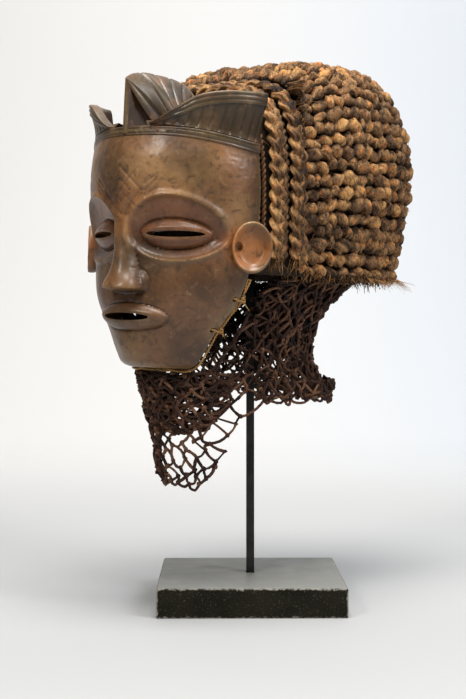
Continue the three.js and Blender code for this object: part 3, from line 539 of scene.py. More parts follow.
def scar_strokes():
    """The forehead's incised lines: a cross, two diamonds and short rays on each side."""
    a = SCAR_CROSS
    strokes = [((-a, -a), (a, a)), ((-a, a), (a, -a))]
    for a in SCAR_DIAMONDS:
        corners = [(0, a), (a, 0), (0, -a), (-a, 0)]
        strokes += zip(corners, corners[1:] + corners[:1])
    for side in (1, -1):
        strokes += [((side * x0, v0), (side * x1, v1)) for (x0, v0), (x1, v1) in SCAR_RAYS]
    return strokes


def fine_relief(x, v):
    """The knife work that is too fine for the solids: creases, lids, lip edges and scars."""
    side = np.abs(x)
    eye = np.hypot((side - EYE_X) / EYE_HALF[0], (v - EYE_V) / EYE_HALF[1])
    height = -0.9 * hill(eye - 1.03, 0.05)
    slit = np.hypot((side - EYE_X) / (EYE_SLIT_HALF[0] + 3), (v - EYE_V) / (EYE_SLIT_HALF[1] + 2.4))
    height += 0.8 * hill(slit - 1.0, 0.22)
    socket_edge = np.hypot((side - EYE_X) / SOCKET_HALF_WIDTH, (v - EYE_V) / SOCKET_UP)
    height += 0.5 * hill(socket_edge - 1.0, 0.025) * (v > EYE_V)

    wing = np.hypot((side - 11.5) / 8.5, (v - NOSE_BASE_V - 8) / 9.5)
    height -= 0.8 * hill(wing - 1.05, 0.09) * (side > 9)
    height -= 1.1 * hill(side, 2.6) * ease(v, MOUTH_V + 10, MOUTH_V + 13) * (1 - ease(v, THIRD - 3, THIRD))
    open_ = np.clip(1 - (side / LIP_HALF_WIDTH) ** 2, 0, 1)
    from_mouth = np.abs(v - MOUTH_V) / np.maximum(LIP_HEIGHT * open_**0.45, 1e-6)
    height -= 0.7 * hill(from_mouth - 1.04, 0.06) * (side < LIP_HALF_WIDTH)
    lip_slit = np.hypot(side / (MOUTH_SLIT_HALF[0] + 3), (v - MOUTH_V) / (MOUTH_SLIT_HALF[1] + 2))
    height += 0.5 * hill(lip_slit - 1.0, 0.2)

    for start, end in scar_strokes():
        height -= SCAR_DEPTH * stroke(x, v - SCAR_CENTRE_V, start, end, SCAR_WIDTH)
    return height


def drop_at(angle, v):
    return BAND_DROP * np.abs(np.sin(angle)) ** 4 * ease(v, FACE_HEIGHT * 0.75, FACE_HEIGHT)


BAND_TOP = FACE_HEIGHT + BAND_HEIGHT
ROOF_TOP = BAND_TOP + ROOF_THICKNESS / 2


def face_columns(count):
    """Angles of the face's columns, evenly spaced round its widest section."""
    def outline(u):
        x, y, _, _ = face_plan((u - 0.5) * math.pi, FACE_HEIGHT * 0.6)
        return np.stack([x, y, 0 * x], axis=1)

    return (evenly(outline, count - 1, 4000)[0] - 0.5) * math.pi


def face_body():
    angle = face_columns(FACE_COLUMNS)[None, :]
    face_rows = np.linspace(0, FACE_HEIGHT, int(FACE_HEIGHT / FACE_ROW_STEP))
    rise = np.array([0, 0.6, 0.9, 1.0, 0.75, 0.75, 1.15, 1.3, 0.8, 0.8, 1.0, 1.05, 0.7, -0.5])
    at = np.array([0, 0.4, 0.9, 1.9, 2.4, 3.0, 3.5, 5.6, 6.1, 6.7, 7.2, 8.6, 9.2, 9.3])
    band = FACE_HEIGHT + at * BAND_HEIGHT / 9.3
    v = np.concatenate([face_rows, band + 0.05, [ROOF_TOP]])[:, None]
    lift = np.concatenate([np.zeros(len(face_rows)), rise * BAND_RISE / 1.35, [-2]])[:, None]
    lift = lift - 3.0 * (1 - np.sqrt(1 - np.clip(1 - v / 4, 0, 1) ** 2))
    x, y, nx, ny = face_plan(angle, np.minimum(v, ROOF_TOP))
    carved = relief(x, v) * (v <= FACE_HEIGHT) + fine_relief(x, v) * ease(v, 1, 6) * (v <= FACE_HEIGHT)
    flat = np.stack([x, y, v + 0 * x], axis=-1).reshape(-1, 3)
    marks = 0.28 * noise(flat * (1, 1, 0.6), 9) + 0.09 * noise(flat, 2.6, 3.3)
    rim = ease(math.pi / 2 - np.abs(angle), 0, 0.12)
    out = carved + lift + marks.reshape(x.shape) * rim
    rings = np.stack([x + nx * out, y + ny * out, CHIN_Z + v - drop_at(angle, v)], axis=-1)
    return loft(rings)


def face_hollow():
    angle = face_columns(64)[None, :]
    v = np.concatenate([[-12], np.linspace(2, ROOF_TOP - ROOF_THICKNESS, 70)])[:, None]
    clamped = np.maximum(v, 0)
    rear = section_at(clamped)[2]
    x, y, nx, ny = face_plan(angle, clamped)
    cut = WOOD_WALL + np.maximum(-relief(x, clamped), 0)
    flat = np.stack([x, y, v + 0 * x], axis=-1).reshape(-1, 3)
    cut = cut + 0.7 * np.round(2.2 * noise(flat * (1, 1, 0.5), 11, 5.1)).reshape(x.shape) / 2.2
    inner_x, inner_y = x - nx * cut, np.minimum(y - ny * cut, rear - 1)
    rings = np.stack([inner_x, inner_y, CHIN_Z + v + 0 * x], axis=-1)
    past = np.broadcast_to(rear + 2 * WOOD_WALL, (len(v), 1))
    far = np.stack([rings[:, -1:, 0], past, rings[:, -1:, 2]], axis=-1)
    near = np.stack([rings[:, :1, 0], past, rings[:, :1, 2]], axis=-1)
    return loft(np.concatenate([rings, far, near], axis=1))


def turned_form(profile, steps, scale):
    """Points and faces of a form turned about the Y axis, from (radius, height) points, pole to pole."""
    angle = round_angles(steps)
    profile = np.array(profile, float)
    rings = np.stack([
        profile[1:-1, :1] * np.cos(angle) * scale[0],
        np.repeat(profile[1:-1, 1:], steps, axis=1) * scale[1],
        profile[1:-1, :1] * np.sin(angle) * scale[2],
    ], axis=-1)
    poles = [[0, profile[k, 1] * scale[1], 0] for k in (0, -1)]
    return np.concatenate([rings.reshape(-1, 3), poles]), *capped(len(rings), steps)


def ear_part(points, faces, side):
    """A part of an ear, worked out about the ear's middle and set in its place on the head."""
    c, s = math.cos(EAR_TURN), math.sin(EAR_TURN)
    x = c * points[:, 0] - s * points[:, 1] + EAR_CENTRE[0]
    y = s * points[:, 0] + c * points[:, 1] + EAR_CENTRE[1]
    points = np.stack([side * x, y, points[:, 2] + EAR_CENTRE[2]], axis=1)
    return Shape().add(points, *outward(points, *faces))


def ear(side):
    """A bowl with a rolled rim."""
    keys = [[0, 0.3], [0.3, 0.31], [0.62, 0.42], [0.82, 0.84], [0.88, 0.96]]
    inside = [(r, float(along(keys, r))) for r in np.linspace(0, 0.88, 20)]
    rim = [(0.91, 1.0), (0.945, 1.01), (0.975, 0.96), (0.995, 0.84), (1.0, 0.66), (1.0, 0.4)]
    under = [(0.985, 0.22), (0.95, 0.06), (0.9, 0.0), (0.5, 0.0), (0, 0)]
    points, *faces = turned_form(inside + rim + under, 72, (EAR_HALF[0], -EAR_THICKNESS, EAR_HALF[1]))
    return ear_part(points + 0.18 * noise(points, 5, 1.7 + side)[:, None] * (0, 1, 0), faces, side)


def ear_hole(side):
    ball = [(math.sin(math.pi * k / 8), -math.cos(math.pi * k / 8)) for k in range(9)]
    points, *faces = turned_form(ball, 20, EAR_HOLE_HALF)
    return ear_part(points + (-EAR_HALF[0] * 0.64, -EAR_THICKNESS * 0.8, 0), faces, side)


def side_lobe(side):
    rise_keys = [[0, 0.06], [0.12, 0.28], [0.36, 0.8], [0.58, 0.97], [0.8, 1], [1, 1]]
    share = np.linspace(0, 1, 150)
    angle = mix(CREST_GAP_ANGLE, math.pi / 2, share)
    x, y, nx, ny = face_plan(angle, FACE_HEIGHT)
    foot = CHIN_Z + BAND_TOP - drop_at(angle, BAND_TOP)
    top = CHIN_Z + BAND_TOP + SIDE_LOBE_RISE * along(rise_keys, share)
    rim = np.minimum(SIDE_LOBE_RIM, (top - foot) * 0.5)
    panel_top = top - rim

    def at(offset, z):
        out = offset + SIDE_LOBE_FLARE * (z - foot) / SIDE_LOBE_RISE
        return np.stack([side * (x + nx * out), np.minimum(y + ny * out, WOOD_REAR_Y), z], axis=-1)

    rings = [at(-SIDE_LOBE_THICKNESS, foot - LOBE_ROOT), at(-1, foot - LOBE_ROOT), at(-1, foot)]
    for h in np.linspace(0, 1, 16):
        z = mix(foot + 0.6, panel_top, h)
        phase = SIDE_LOBE_FLUTES * (share - 0.05 * h)
        groove = hill((phase - np.round(phase)), 0.09)
        scoop = 1.1 * math.sin(math.pi * min(h * 1.05, 1)) ** 0.8
        offset = 0.2 - scoop - 0.95 * groove * ease(rim, 2, 6) * math.sin(math.pi * h) ** 0.25
        rings.append(at(offset, z))
    ridges = [(0.0, 1.5), (0.08, 1.9), (0.2, 1.95), (0.3, 1.35), (0.36, 1.35), (0.44, 1.9), (0.56, 1.85),
              (0.64, 1.15), (0.7, 1.15), (0.78, 1.6), (0.9, 1.3), (0.97, 0.7), (1.0, 0.0)]
    for t, out in ridges:
        rings.append(at(out - 0.4, panel_top + rim * t))
    rings.append(at(-1.5, top + 0.1))
    for inside, down in ((3, 0.1), (1.6, 1.2), (1, 4)):
        rings.append(at(-SIDE_LOBE_THICKNESS + inside, top - down))
    return loft(np.stack(rings, axis=1))


def crest_front():
    """Where the middle lobe starts, at the front of the hairline."""
    _, depth, rear = section_at(FACE_HEIGHT)
    return float(rear - depth - BAND_RISE)


def centre_lobe():
    """A ribbed arch swept back from a keel, and the cuts for the recess on each side of the keel."""
    front = crest_front()
    base = CHIN_Z + BAND_TOP
    front_half = CENTRE_LOBE_HALF_WIDTH * CENTRE_WIDTH_KEYS[0][1]
    share = np.concatenate([np.zeros(12), [0.003, 0.008, 0.016], np.linspace(0.026, 0.985, 96), [1]])
    share = share[:, None]
    spread = np.concatenate([np.linspace(0, 1, 13)[:-1], np.ones(len(share) - 12)])[:, None]
    across = np.linspace(-1, 1, 81)[None, :]
    reach = np.abs(across)
    half = mix(KEEL_EDGE_WIDTH / 2, CENTRE_LOBE_HALF_WIDTH * along(CENTRE_WIDTH_KEYS, share), spread)
    sweep = CENTRE_LOBE_SWEEP * (1 - share) ** 2 * spread
    y = mix(front, WOOD_REAR_Y, share) + sweep * reach
    ridge = base + CENTRE_LOBE_RISE * along(CENTRE_RIDGE_KEYS, share)
    rounding = 1.4 * hill(share, 0.006) * ease(spread, 0.6, 1)
    ray = CENTRE_LOBE_RIBS * share / (1 - 0.55 * reach)
    groove = hill(ray - np.round(ray), 0.045) * ease(share, 0.03, 0.07) * (1 - ease(share, 0.97, 0.99))
    rounded = (0.5 - 0.5 * np.cos(2 * np.pi * ray)) * ease(share, 0, 0.03)
    cut = -1.3 * groove + 0.12 * rounded - 0.2 - rounding
    fall = reach ** mix(1.15, 1.5, ease(share, 0, 0.3))
    z = mix(ridge, base + 1, fall) + cut * (1 - 0.5 * reach)
    x = across * half + np.sign(across) * cut * reach**0.5 * spread
    rings = np.stack([x, y, z], axis=-1)
    floor = np.full((len(share), 1), base - LOBE_ROOT)
    middle = np.stack([0 * half, y[:, 40:41], floor], axis=-1)
    first = np.stack([-half, y[:, :1], floor], axis=-1)
    last = np.stack([half, y[:, :1], floor], axis=-1)
    lobe = loft(np.concatenate([middle, first, rings, last], axis=1))
    low, high = base + 0.5, base + CENTRE_LOBE_RISE * CENTRE_RIDGE_KEYS[0][1] - 2 * MOUTH_LIP
    outer, inner = front_half - 2 * MOUTH_LIP, KEEL_WIDTH / 2
    edge = [(mix(outer, inner, t), mix(low, high, t**1.25)) for t in np.linspace(0, 1, 13)]
    outline = np.array([(inner, low)] + edge)
    cuts = []
    for side in (1, -1):
        x, z = side * outline[:, 0], outline[:, 1]
        near = 0 * x + front - 2 * KEEL_RECESS
        back = front + CENTRE_LOBE_SWEEP * outline[:, 0] / front_half + KEEL_RECESS
        cuts.append(loft([np.stack([x, y, z], axis=1) for y in (near, back)]))
    return lobe, cuts


def slit_bar(x, z, half, start, end):
    angle = round_angles(40)
    ring = np.stack([
        x + half[0] * np.cos(angle),
        0 * angle,
        z + half[1] * power(np.sin(angle), 0.9),
    ], axis=1)
    return loft([ring + (0, start, 0), ring + (0, end, 0)])


def carved_mask():
    front = WOOD_REAR_Y - FOREHEAD_DEPTH - 2 * NOSE_HEIGHT
    lobe, mouth_cuts = centre_lobe()
    steps = [("DIFFERENCE", face_hollow())]
    for side in (1, -1):
        steps += [("UNION", side_lobe(side)), ("UNION", ear(side)), ("DIFFERENCE", ear_hole(side))]
    steps.append(("UNION", lobe))
    steps += [("DIFFERENCE", cut) for cut in mouth_cuts]
    for x in (EYE_X, -EYE_X):
        steps.append(("DIFFERENCE", slit_bar(x, CHIN_Z + EYE_V, EYE_SLIT_HALF, front, WOOD_REAR_Y)))
    steps.append(("DIFFERENCE", slit_bar(0, CHIN_Z + MOUTH_V, MOUTH_SLIT_HALF, front, WOOD_REAR_Y)))
    for v in LASHING_HOLE_V:
        angle = round_angles(20)
        radius = LASHING_HOLE_DIAMETER / 2
        y = float(section_at(v)[2]) - LASHING_HOLE_INSET
        ring = np.stack([0 * angle, y + radius * np.cos(angle), CHIN_Z + v + radius * np.sin(angle)], axis=1)
        steps.append(("DIFFERENCE", loft([ring - (120, 0, 0), ring + (120, 0, 0)])))
    return combine(face_body(), steps)


def curvature(mesh, rounds=3):
    """How convex the surface is at each vertex, smoothed: above 0 on ridges, below 0 in grooves."""
    count = len(mesh.vertices)
    points = np.zeros(count * 3, np.float32)
    mesh.vertices.foreach_get("co", points)
    points = points.reshape(-1, 3) * 1000
    normals = np.zeros(count * 3, np.float32)
    mesh.vertex_normals.foreach_get("vector", normals)
    normals = normals.reshape(-1, 3)
    edges = np.zeros(len(mesh.edges) * 2, np.int32)
    mesh.edges.foreach_get("vertices", edges)
    a, b = edges.reshape(-1, 2).T
    valence = np.maximum(np.bincount(a, minlength=count) + np.bincount(b, minlength=count), 1)

    def around(values):
        total = np.bincount(a, values[b], count) + np.bincount(b, values[a], count)
        return total / valence

    middle = np.stack([around(points[:, k]) for k in range(3)], axis=1)
    bend = np.einsum("ij,ij->i", points - middle, normals)
    for _ in range(rounds):
        bend = 0.5 * bend + 0.5 * around(bend)
    return bend, around


def head_points(mesh):
    """The mesh's points in the head's own frame, in millimetres."""
    count = len(mesh.vertices)
    p = np.zeros(count * 3, np.float32)
    mesh.vertices.foreach_get("co", p)
    p = p.reshape(-1, 3).astype(float) * 1000 - (0, 0, HEAD_PIVOT_Z)
    c, s = math.cos(HEAD_TURN), math.sin(HEAD_TURN)
    x, y, z = c * p[:, 0] - s * p[:, 1], s * p[:, 0] + c * p[:, 1], p[:, 2]
    c, s = math.cos(-HEAD_TILT), math.sin(-HEAD_TILT)
    return np.stack([c * x + s * z, y, -s * x + c * z + HEAD_PIVOT_Z], axis=1)


def paint_wood(piece):
    """Writes the wood's colour to each point: red-brown, with painted sheen on rises and ridges and painted
    shade in cuts.
    """
    mesh = piece.data
    bend, around = curvature(mesh)
    broad = bend.copy()
    for _ in range(14):
        broad = 0.4 * broad + 0.6 * around(broad)
    p = head_points(mesh)
    v = p[:, 2] - CHIN_Z
    crest = ease(v + BAND_DROP * np.clip(np.abs(p[:, 0]) / FACE_HALF_WIDTH, 0, 1) ** 4, 181, 187)
    inner = ease(np.hypot(np.abs(p[:, 0]) - EAR_CENTRE[0], p[:, 2] - EAR_CENTRE[2]), 19, 13)
    ears = inner * ease(p[:, 1], EAR_CENTRE[1] - 20, EAR_CENTRE[1] - 16)
    brown = np.array([0.108, 0.048, 0.019])
    red = np.array([0.135, 0.047, 0.017])
    sheen_grey = np.array([0.25, 0.165, 0.08])
    crest_brown = np.array([0.05, 0.028, 0.011])
    crest_grey = np.array([0.11, 0.07, 0.03])
    orange = np.array([0.26, 0.098, 0.034])
    dark = np.array([0.018, 0.009, 0.005])
    cloud = 0.5 + 0.5 * noise(p, 34, 2.2)
    small = 0.5 + 0.5 * noise(p, 7, 9.1)
    socket_reach = np.where(v > EYE_V, SOCKET_UP, SOCKET_DOWN)
    socket = np.hypot((np.abs(p[:, 0]) - EYE_X) / SOCKET_HALF_WIDTH, (v - EYE_V) / socket_reach)
    hollow = ease(1.05 - socket, 0, 0.3)
    # Painted sheen: a pale grey highlight on broad rises and in broad patches, kept out of the eye sockets.
    sheen = np.clip(0.15 + 0.55 * ease(cloud, 0.4, 0.8) + 0.5 * ease(broad, 0.01, 0.09) - 0.6 * hollow, 0, 1)
    warm = np.clip(0.35 + 0.6 * hollow + 0.35 * (small - 0.5), 0, 1)[:, None]
    face = mix(brown, red, warm)
    face = mix(face, sheen_grey, 0.62 * sheen[:, None] * (0.75 + 0.5 * (small[:, None] - 0.5)))
    worn = np.clip(0.35 + 0.9 * (cloud - 0.5) + 3.0 * np.clip(bend, -0.1, 0.2), 0, 1)[:, None]
    top = mix(crest_brown, crest_grey, worn)
    colour = mix(face, top, crest[:, None])
    colour = mix(colour, orange, 0.8 * ears[:, None])
    # Painted shade darkens creases and cuts, and a painted highlight lightens the ridges.
    colour = mix(colour, dark, np.clip(-bend * 3.4 - 0.1, 0, 0.85)[:, None])
    colour = mix(colour, colour * 1.45 + 0.012, np.clip(bend * 2.6 - 0.12, 0, 0.6)[:, None])
    colour = colour * (0.5 + 0.9 * ease(noise(p, 26, 5.5), -0.7, 0.8))[:, None] * (1, 0.98, 0.82)
    # Painted light from above: the face is lighter towards the brow and darker towards the chin.
    colour = colour * (0.78 + 0.55 * ease(v, 40, 165) * (1 - crest))[:, None]
    # Painted shade in the recesses on each side of the keel, under the middle lobe's front.
    widest = CENTRE_WIDTH_KEYS[0][1] * CENTRE_LOBE_HALF_WIDTH - 2 * MOUTH_LIP - KEEL_WIDTH / 2
    reach = (np.abs(p[:, 0]) - KEEL_WIDTH / 2) / widest
    slope = (CENTRE_RIDGE_KEYS[0][1] * CENTRE_LOBE_RISE - 2 * MOUTH_LIP) * (1 - reach) + 0.5
    recess = (reach > -0.05) & (v > BAND_TOP - 1) & (v - BAND_TOP < slope) & (p[:, 1] > crest_front() + 2)
    colour = mix(colour, np.array([0.04, 0.02, 0.01]), 0.75 * recess[:, None])
    # Painted shade: the wood darkens towards its rear edge, less on the crest and not on the ears.
    behind = ease(p[:, 1], WOOD_REAR_Y - 14, WOOD_REAR_Y - 2) * 0.5
    colour = mix(colour, dark, behind[:, None] * (1 - crest[:, None] * 0.5) * (1 - ears[:, None]))
    layer = mesh.color_attributes.new("tint_and_painted_light", "FLOAT_COLOR", "POINT")
    flat = np.concatenate([np.clip(colour, 0, 1), np.ones((len(colour), 1))], axis=1)
    layer.data.foreach_set("color", flat.astype(np.float32).ravel())


# Plaits and cords

FRONT_CORD_Y = WOOD_REAR_Y + CORD_GAP + EDGE_CORD_DIAMETER / 2
BACK_CORD_Y = FRONT_CORD_Y + EDGE_CORD_DIAMETER + CORD_GAP
INNER_PLAIT_Y = BACK_CORD_Y + EDGE_CORD_DIAMETER / 2 + CORD_GAP + PLAIT_WIDTH / 2
DIVIDER_CORD_Y = INNER_PLAIT_Y + PLAIT_WIDTH / 2 + CORD_GAP + DIVIDER_CORD_DIAMETER / 2
OUTER_PLAIT_Y = DIVIDER_CORD_Y + DIVIDER_CORD_DIAMETER / 2 + CORD_GAP + PLAIT_WIDTH / 2
WIG_FRONT_Y = OUTER_PLAIT_Y + PLAIT_WIDTH / 2 + CORD_GAP
LIP_FRONT_Y = WOOD_REAR_Y + CLEARANCE


def lip_at(y):
    share = (y - LIP_FRONT_Y) / (WIG_FRONT_Y - LIP_FRONT_Y)
    return mix(LIP_FRONT[0], LIP_BACK[0], share), mix(LIP_FRONT[1], LIP_BACK[1], share)


def arch_path(y, half_width, top, end_z, steps):
    """A boxy arch in the plane of one y, from foot to foot, in stretches of equal length."""
    low = math.asin(((end_z - WIG_BOTTOM_Z) / (top - WIG_BOTTOM_Z)) ** (1 / ARCH_POWER))

    def at(u):
        angle = mix(low, math.pi - low, u)
        x = half_width * power(np.cos(angle), ARCH_POWER)
        z = WIG_BOTTOM_Z + (top - WIG_BOTTOM_Z) * power(np.sin(angle), ARCH_POWER)
        return np.stack([x, y + 0 * x, z], axis=1)

    return at(evenly(at, steps, 4000)[0])


def lay_on_lip(y, lift, step):
    half_width, top = lip_at(y)
    rough = arch_path(y, half_width + lift, top + lift, PLAIT_END_Z, 200)
    length = np.linalg.norm(np.diff(rough, axis=0), axis=1).sum()
    return arch_path(y, half_width + lift, top + lift, PLAIT_END_Z, int(length / step))


def arch_basis(path):
    forward = unit(np.gradient(path, axis=0))
    across = np.zeros_like(path)
    across[:, 1] = 1
    return across, np.cross(forward, across)


def braid(shape, path, width, period, seed, strand=5.9, depth=1.8, sides=22, level=0.63):
    """Three flat strands that cross over each other, with fibre ridges along each."""
    across, out = arch_basis(path)
    s = lengths_of(path)
    draw = np.random.RandomState(seed)
    taper = ease(s, -4, 10) * ease(s[-1] - s, -4, 10)
    wander = 0.6 * noise(path, 23, seed)
    for k in range(3):
        turn = 2 * np.pi * (s / period + k / 3) + 0.3 * noise(path, 31, seed + 3.7 * k)
        lateral = (width / 2 - 0.8 * strand) * np.sin(turn) + wander
        rise = -depth * np.sin(2 * turn)
        centre = path + lateral[:, None] * across + rise[:, None] * out
        radius = strand * (1 + 0.08 * noise(centre, 8, seed + k)) * (0.65 + 0.35 * taper)
        tone = level + 0.3 * noise(centre, 17, seed + 5 * k) + draw.uniform(-0.08, 0.08)
        # Painted shade: a strand is darker where it passes under the others and lighter where it crosses
        # over them.
        tone = tone + 0.16 * rise / depth
        tube(shape, centre, radius, sides, tone, 0.62, 6, 0.1, 0.25 * (-1) ** k, (across, out), 0.5)


def twisted(shape, path, radius, pitch, tone, sides=7, basis=None):
    """A cord of two plies laid round each other."""
    side, up = basis if basis else frames(path)[1:]
    s = lengths_of(path)
    for k in range(2):
        turn = 2 * np.pi * (s / pitch + k / 2)
        centre = path + 0.52 * radius * (np.cos(turn)[:, None] * side + np.sin(turn)[:, None] * up)
        tube(shape, centre, 0.56 * radius, sides, tone, 1, 0, 0, 0, (side, up))


def hairs(shape, starts, directions, length, radius, droop, seed, tone):
    """Thin loose fibres that curl a little from where they start."""
    draw = np.random.RandomState(seed)
    for k, (start, direction) in enumerate(zip(starts, directions)):
        reach = length * draw.uniform(0.5, 1.4)
        bend = unit(draw.normal(size=3)) * reach * draw.uniform(0.1, 0.35)
        t = np.linspace(0, 1, 4)[:, None]
        path = start + direction * reach * t + bend * t**2 + np.array([0, 0, -droop * reach]) * t**2
        width = radius * draw.uniform(0.6, 1.3) * (1 - 0.7 * t[:, 0])
        tube(shape, path, width, 3, tone[k % len(tone)] + draw.uniform(-0.08, 0.08))


def plait(name, node, y, seed, material, level):
    """A thick braid over the head, with loose fibres along it and frayed feet."""
    shape = Shape()
    path = lay_on_lip(y, PLAIT_WIDTH / 2 + CORD_SEAT - PLAIT_SINK, 1.4)
    braid(shape, path, PLAIT_WIDTH + 2, PLAIT_PERIOD, seed, level=level)
    across, out = arch_basis(path)
    draw = np.random.RandomState(seed + 50)
    pick = draw.randint(4, len(path) - 4, 90)
    sign = draw.choice([-1, 1], 90)
    forward = unit(np.gradient(path, axis=0))[pick] * sign[:, None]
    starts = path[pick] + across[pick] * draw.uniform(-5, 5, (90, 1)) + out[pick] * 3.4
    aim = unit(forward + 0.35 * out[pick] + across[pick] * draw.uniform(-0.6, 0.6, (90, 1)))
    hairs(shape, starts, aim, 8, 0.22, 0.05, seed + 60, [0.8, 0.5, 0.95])
    feet, aims = [], []
    for end in (0, -1):
        for _ in range(34):
            feet.append(path[end] + draw.uniform(-4.5, 4.5, 3) * (1, 1, 0) + (0, 0, 3))
            aims.append(unit(np.array([0, 0, -1.0]) + draw.normal(size=3) * 0.3))
    hairs(shape, np.array(feet), np.array(aims), 12, 0.5, 0.0, seed + 61, [0.55, 0.35, 0.8])
    make(name, shape, material, "plait_fibre", node)


def lip_cord(name, node, y, material, tone, seed):
    """A thin laid cord beside the wood, wandering a little."""
    shape = Shape()
    path = lay_on_lip(y, EDGE_CORD_DIAMETER / 2 + CORD_SEAT - 0.4, 1.5)
    across, out = arch_basis(path)
    wander = 0.5 * noise(path, 26, seed)[:, None] * across
    path = path + wander + 0.35 * noise(path, 19, seed + 2)[:, None] * out
    tones = tone + 0.22 * noise(path, 11, seed)
    twisted(shape, path, 0.62 * EDGE_CORD_DIAMETER, 9.5, tones, 10, (across, out))
    make(name, shape, material, "plait_fibre", node)


def divider(material):
    """The narrow dark braid in the groove between the two plaits."""
    shape = Shape()
    path = lay_on_lip(DIVIDER_CORD_Y, 3.6, 1.3)
    braid(shape, path, 8, 19, 6, 2.3, 1.2, 12)
    make("divider", shape, material, "plait_fibre", "divider_cord")


def behind_jaw(side, v):
    """A place on the wood's rear edge, where the lashing runs."""
    half_width, _, rear = section_at(v)
    radius = LASHING_DIAMETER / 2
    return np.array([side * (half_width + radius / 2), rear + CLEARANCE + 1.4 * radius, CHIN_Z + v])


def jaw_cord(shape, side):
    """Two laid cords along one side of the jaw, from below the ear to the middle of the chin."""
    radius = LASHING_DIAMETER / 2
    ear_foot = EAR_CENTRE[2] - CHIN_Z - EAR_HALF[1]
    half_width, _, rear = (float(value) for value in section_at(0))
    under = CHIN_Z - CLEARANCE - radius - 0.2
    jaw = [behind_jaw(1, v) for v in np.linspace(ear_foot - 4, 5, 9)]
    chin = [
        (half_width * 0.97, rear + 2 * radius, under + radius),
        (half_width * 0.85, rear, under),
        (half_width * 0.45, rear - 2 * radius, under),
        (0, rear - 2 * radius, under),
    ]
    path = smooth_path(np.array(jaw + chin) * (side, 1, 1), 1.3)
    sideways, up = frames(path)[1:]
    length = lengths_of(path)
    swing = np.sin(length * 0.13 + side)
    for k in (-1, 1):
        lane = path + sideways * (0.8 * k * np.cos(0.16 * length))[:, None]
        lane = lane + up * (0.75 * k * swing)[:, None]
        twisted(shape, lane, LASHING_PLY, LASHING_PITCH, 0.62 + 0.25 * noise(lane, 9, 3.0 * k + side), 6)


def lashing_tie(shape, side, v):
    """A coil round the cords at a hole, a loop through the hole and round the edge, and frayed tails."""
    centre = behind_jaw(side, v)
    turn = np.linspace(0, 2 * np.pi * 3.4, 46)
    coil = np.stack([
        centre[0] + 2.1 * np.cos(turn),
        centre[1] + 1.2 + 1.9 * np.sin(turn),
        centre[2] + np.linspace(-2.6, 2.6, 46) + 0.5 * np.sin(1.7 * turn),
    ], axis=1)
    twisted(shape, coil, LASHING_PLY, LASHING_PITCH, 0.66, 6)
    width, _, back = (float(value) for value in section_at(v))
    loop = np.array([
        (width - 9, back - 4.6, 0.2), (width - 3, back - 5.1, 0.5), (width + 1.3, back - 5.2, 0.3),
        (width + 1.9, back - 2.4, -0.6), (width + 1.2, back + 1.2, -1.2), (width - 3, back + 3.0, -0.8),
        (width - 8.6, back + 1.4, -0.2), (width - 9.4, back - 2.4, 0.1), (width - 8.6, back - 4.4, 0.3),
    ])
    loop = loop * (side, 1, 1) + (0, 0, CHIN_Z + v)
    twisted(shape, smooth_path(loop, 1.0), 0.9, LASHING_PITCH, 0.7, 6)
    tails = np.repeat([centre + (side * 1.5, 1.5, -2)], 3, axis=0)
    aims = unit(np.array([(side * 0.3, 0.6, -1), (side * 0.8, 0.1, -0.8), (0, 0.9, -0.5)], float))
    hairs(shape, tails, aims, 7, 0.5, 0.1, int(40 + v), [0.75])


def lashing(material):
    shape = Shape()
    for side in (1, -1):
        jaw_cord(shape, side)
        for v in LASHING_HOLE_V:
            lashing_tie(shape, side, v)
    make("lashing", shape, material, "cord_fibre", "lashing_cord")


# Fibre wig


def bonnet_point(around, up, sizes, tuck):
    half_width, half_depth, top, front = sizes
    start = np.arcsin(power((front - WIG_MIDDLE_Y) / half_depth, 1 / WIG_PLAN_POWER))
    angle = mix(start, math.pi - start, np.asarray(around, float))
    plan_y = WIG_MIDDLE_Y + half_depth * power(np.sin(angle), WIG_PLAN_POWER)
    taper = WIG_FRONT_TAPER * (1 - ease(plan_y, front, front + WIG_FRONT_TAPER_LENGTH))
    plan_x = half_width * (1 - taper) * power(np.cos(angle), WIG_PLAN_POWER)
    rise = np.asarray(up, float) * math.pi / 2
    shrink = np.maximum(np.cos(rise), 0) ** WIG_SIDE_POWER
    climb = np.maximum(np.sin(rise), 0) ** WIG_SIDE_POWER
    narrow = 1 - tuck * (1 - ease(climb, 0, 0.45))
    y = front + (plan_y - front) * shrink * narrow
    crown = WIG_CROWN_RISE * np.sin(math.pi * np.minimum((y - front) / (2.4 * half_depth), 1))
    drop = WIG_FRONT_DROP * (1 - ease(y, front, front + WIG_FRONT_DROP_LENGTH))
    z = WIG_BOTTOM_Z + (top + crown - drop - WIG_BOTTOM_Z) * climb
    return np.stack([plan_x * shrink * narrow + 0 * z, y + 0 * z, z], axis=-1)


WIG_SIZES = (WIG_HALF_WIDTH, WIG_HALF_DEPTH, WIG_TOP_Z, WIG_FRONT_Y)


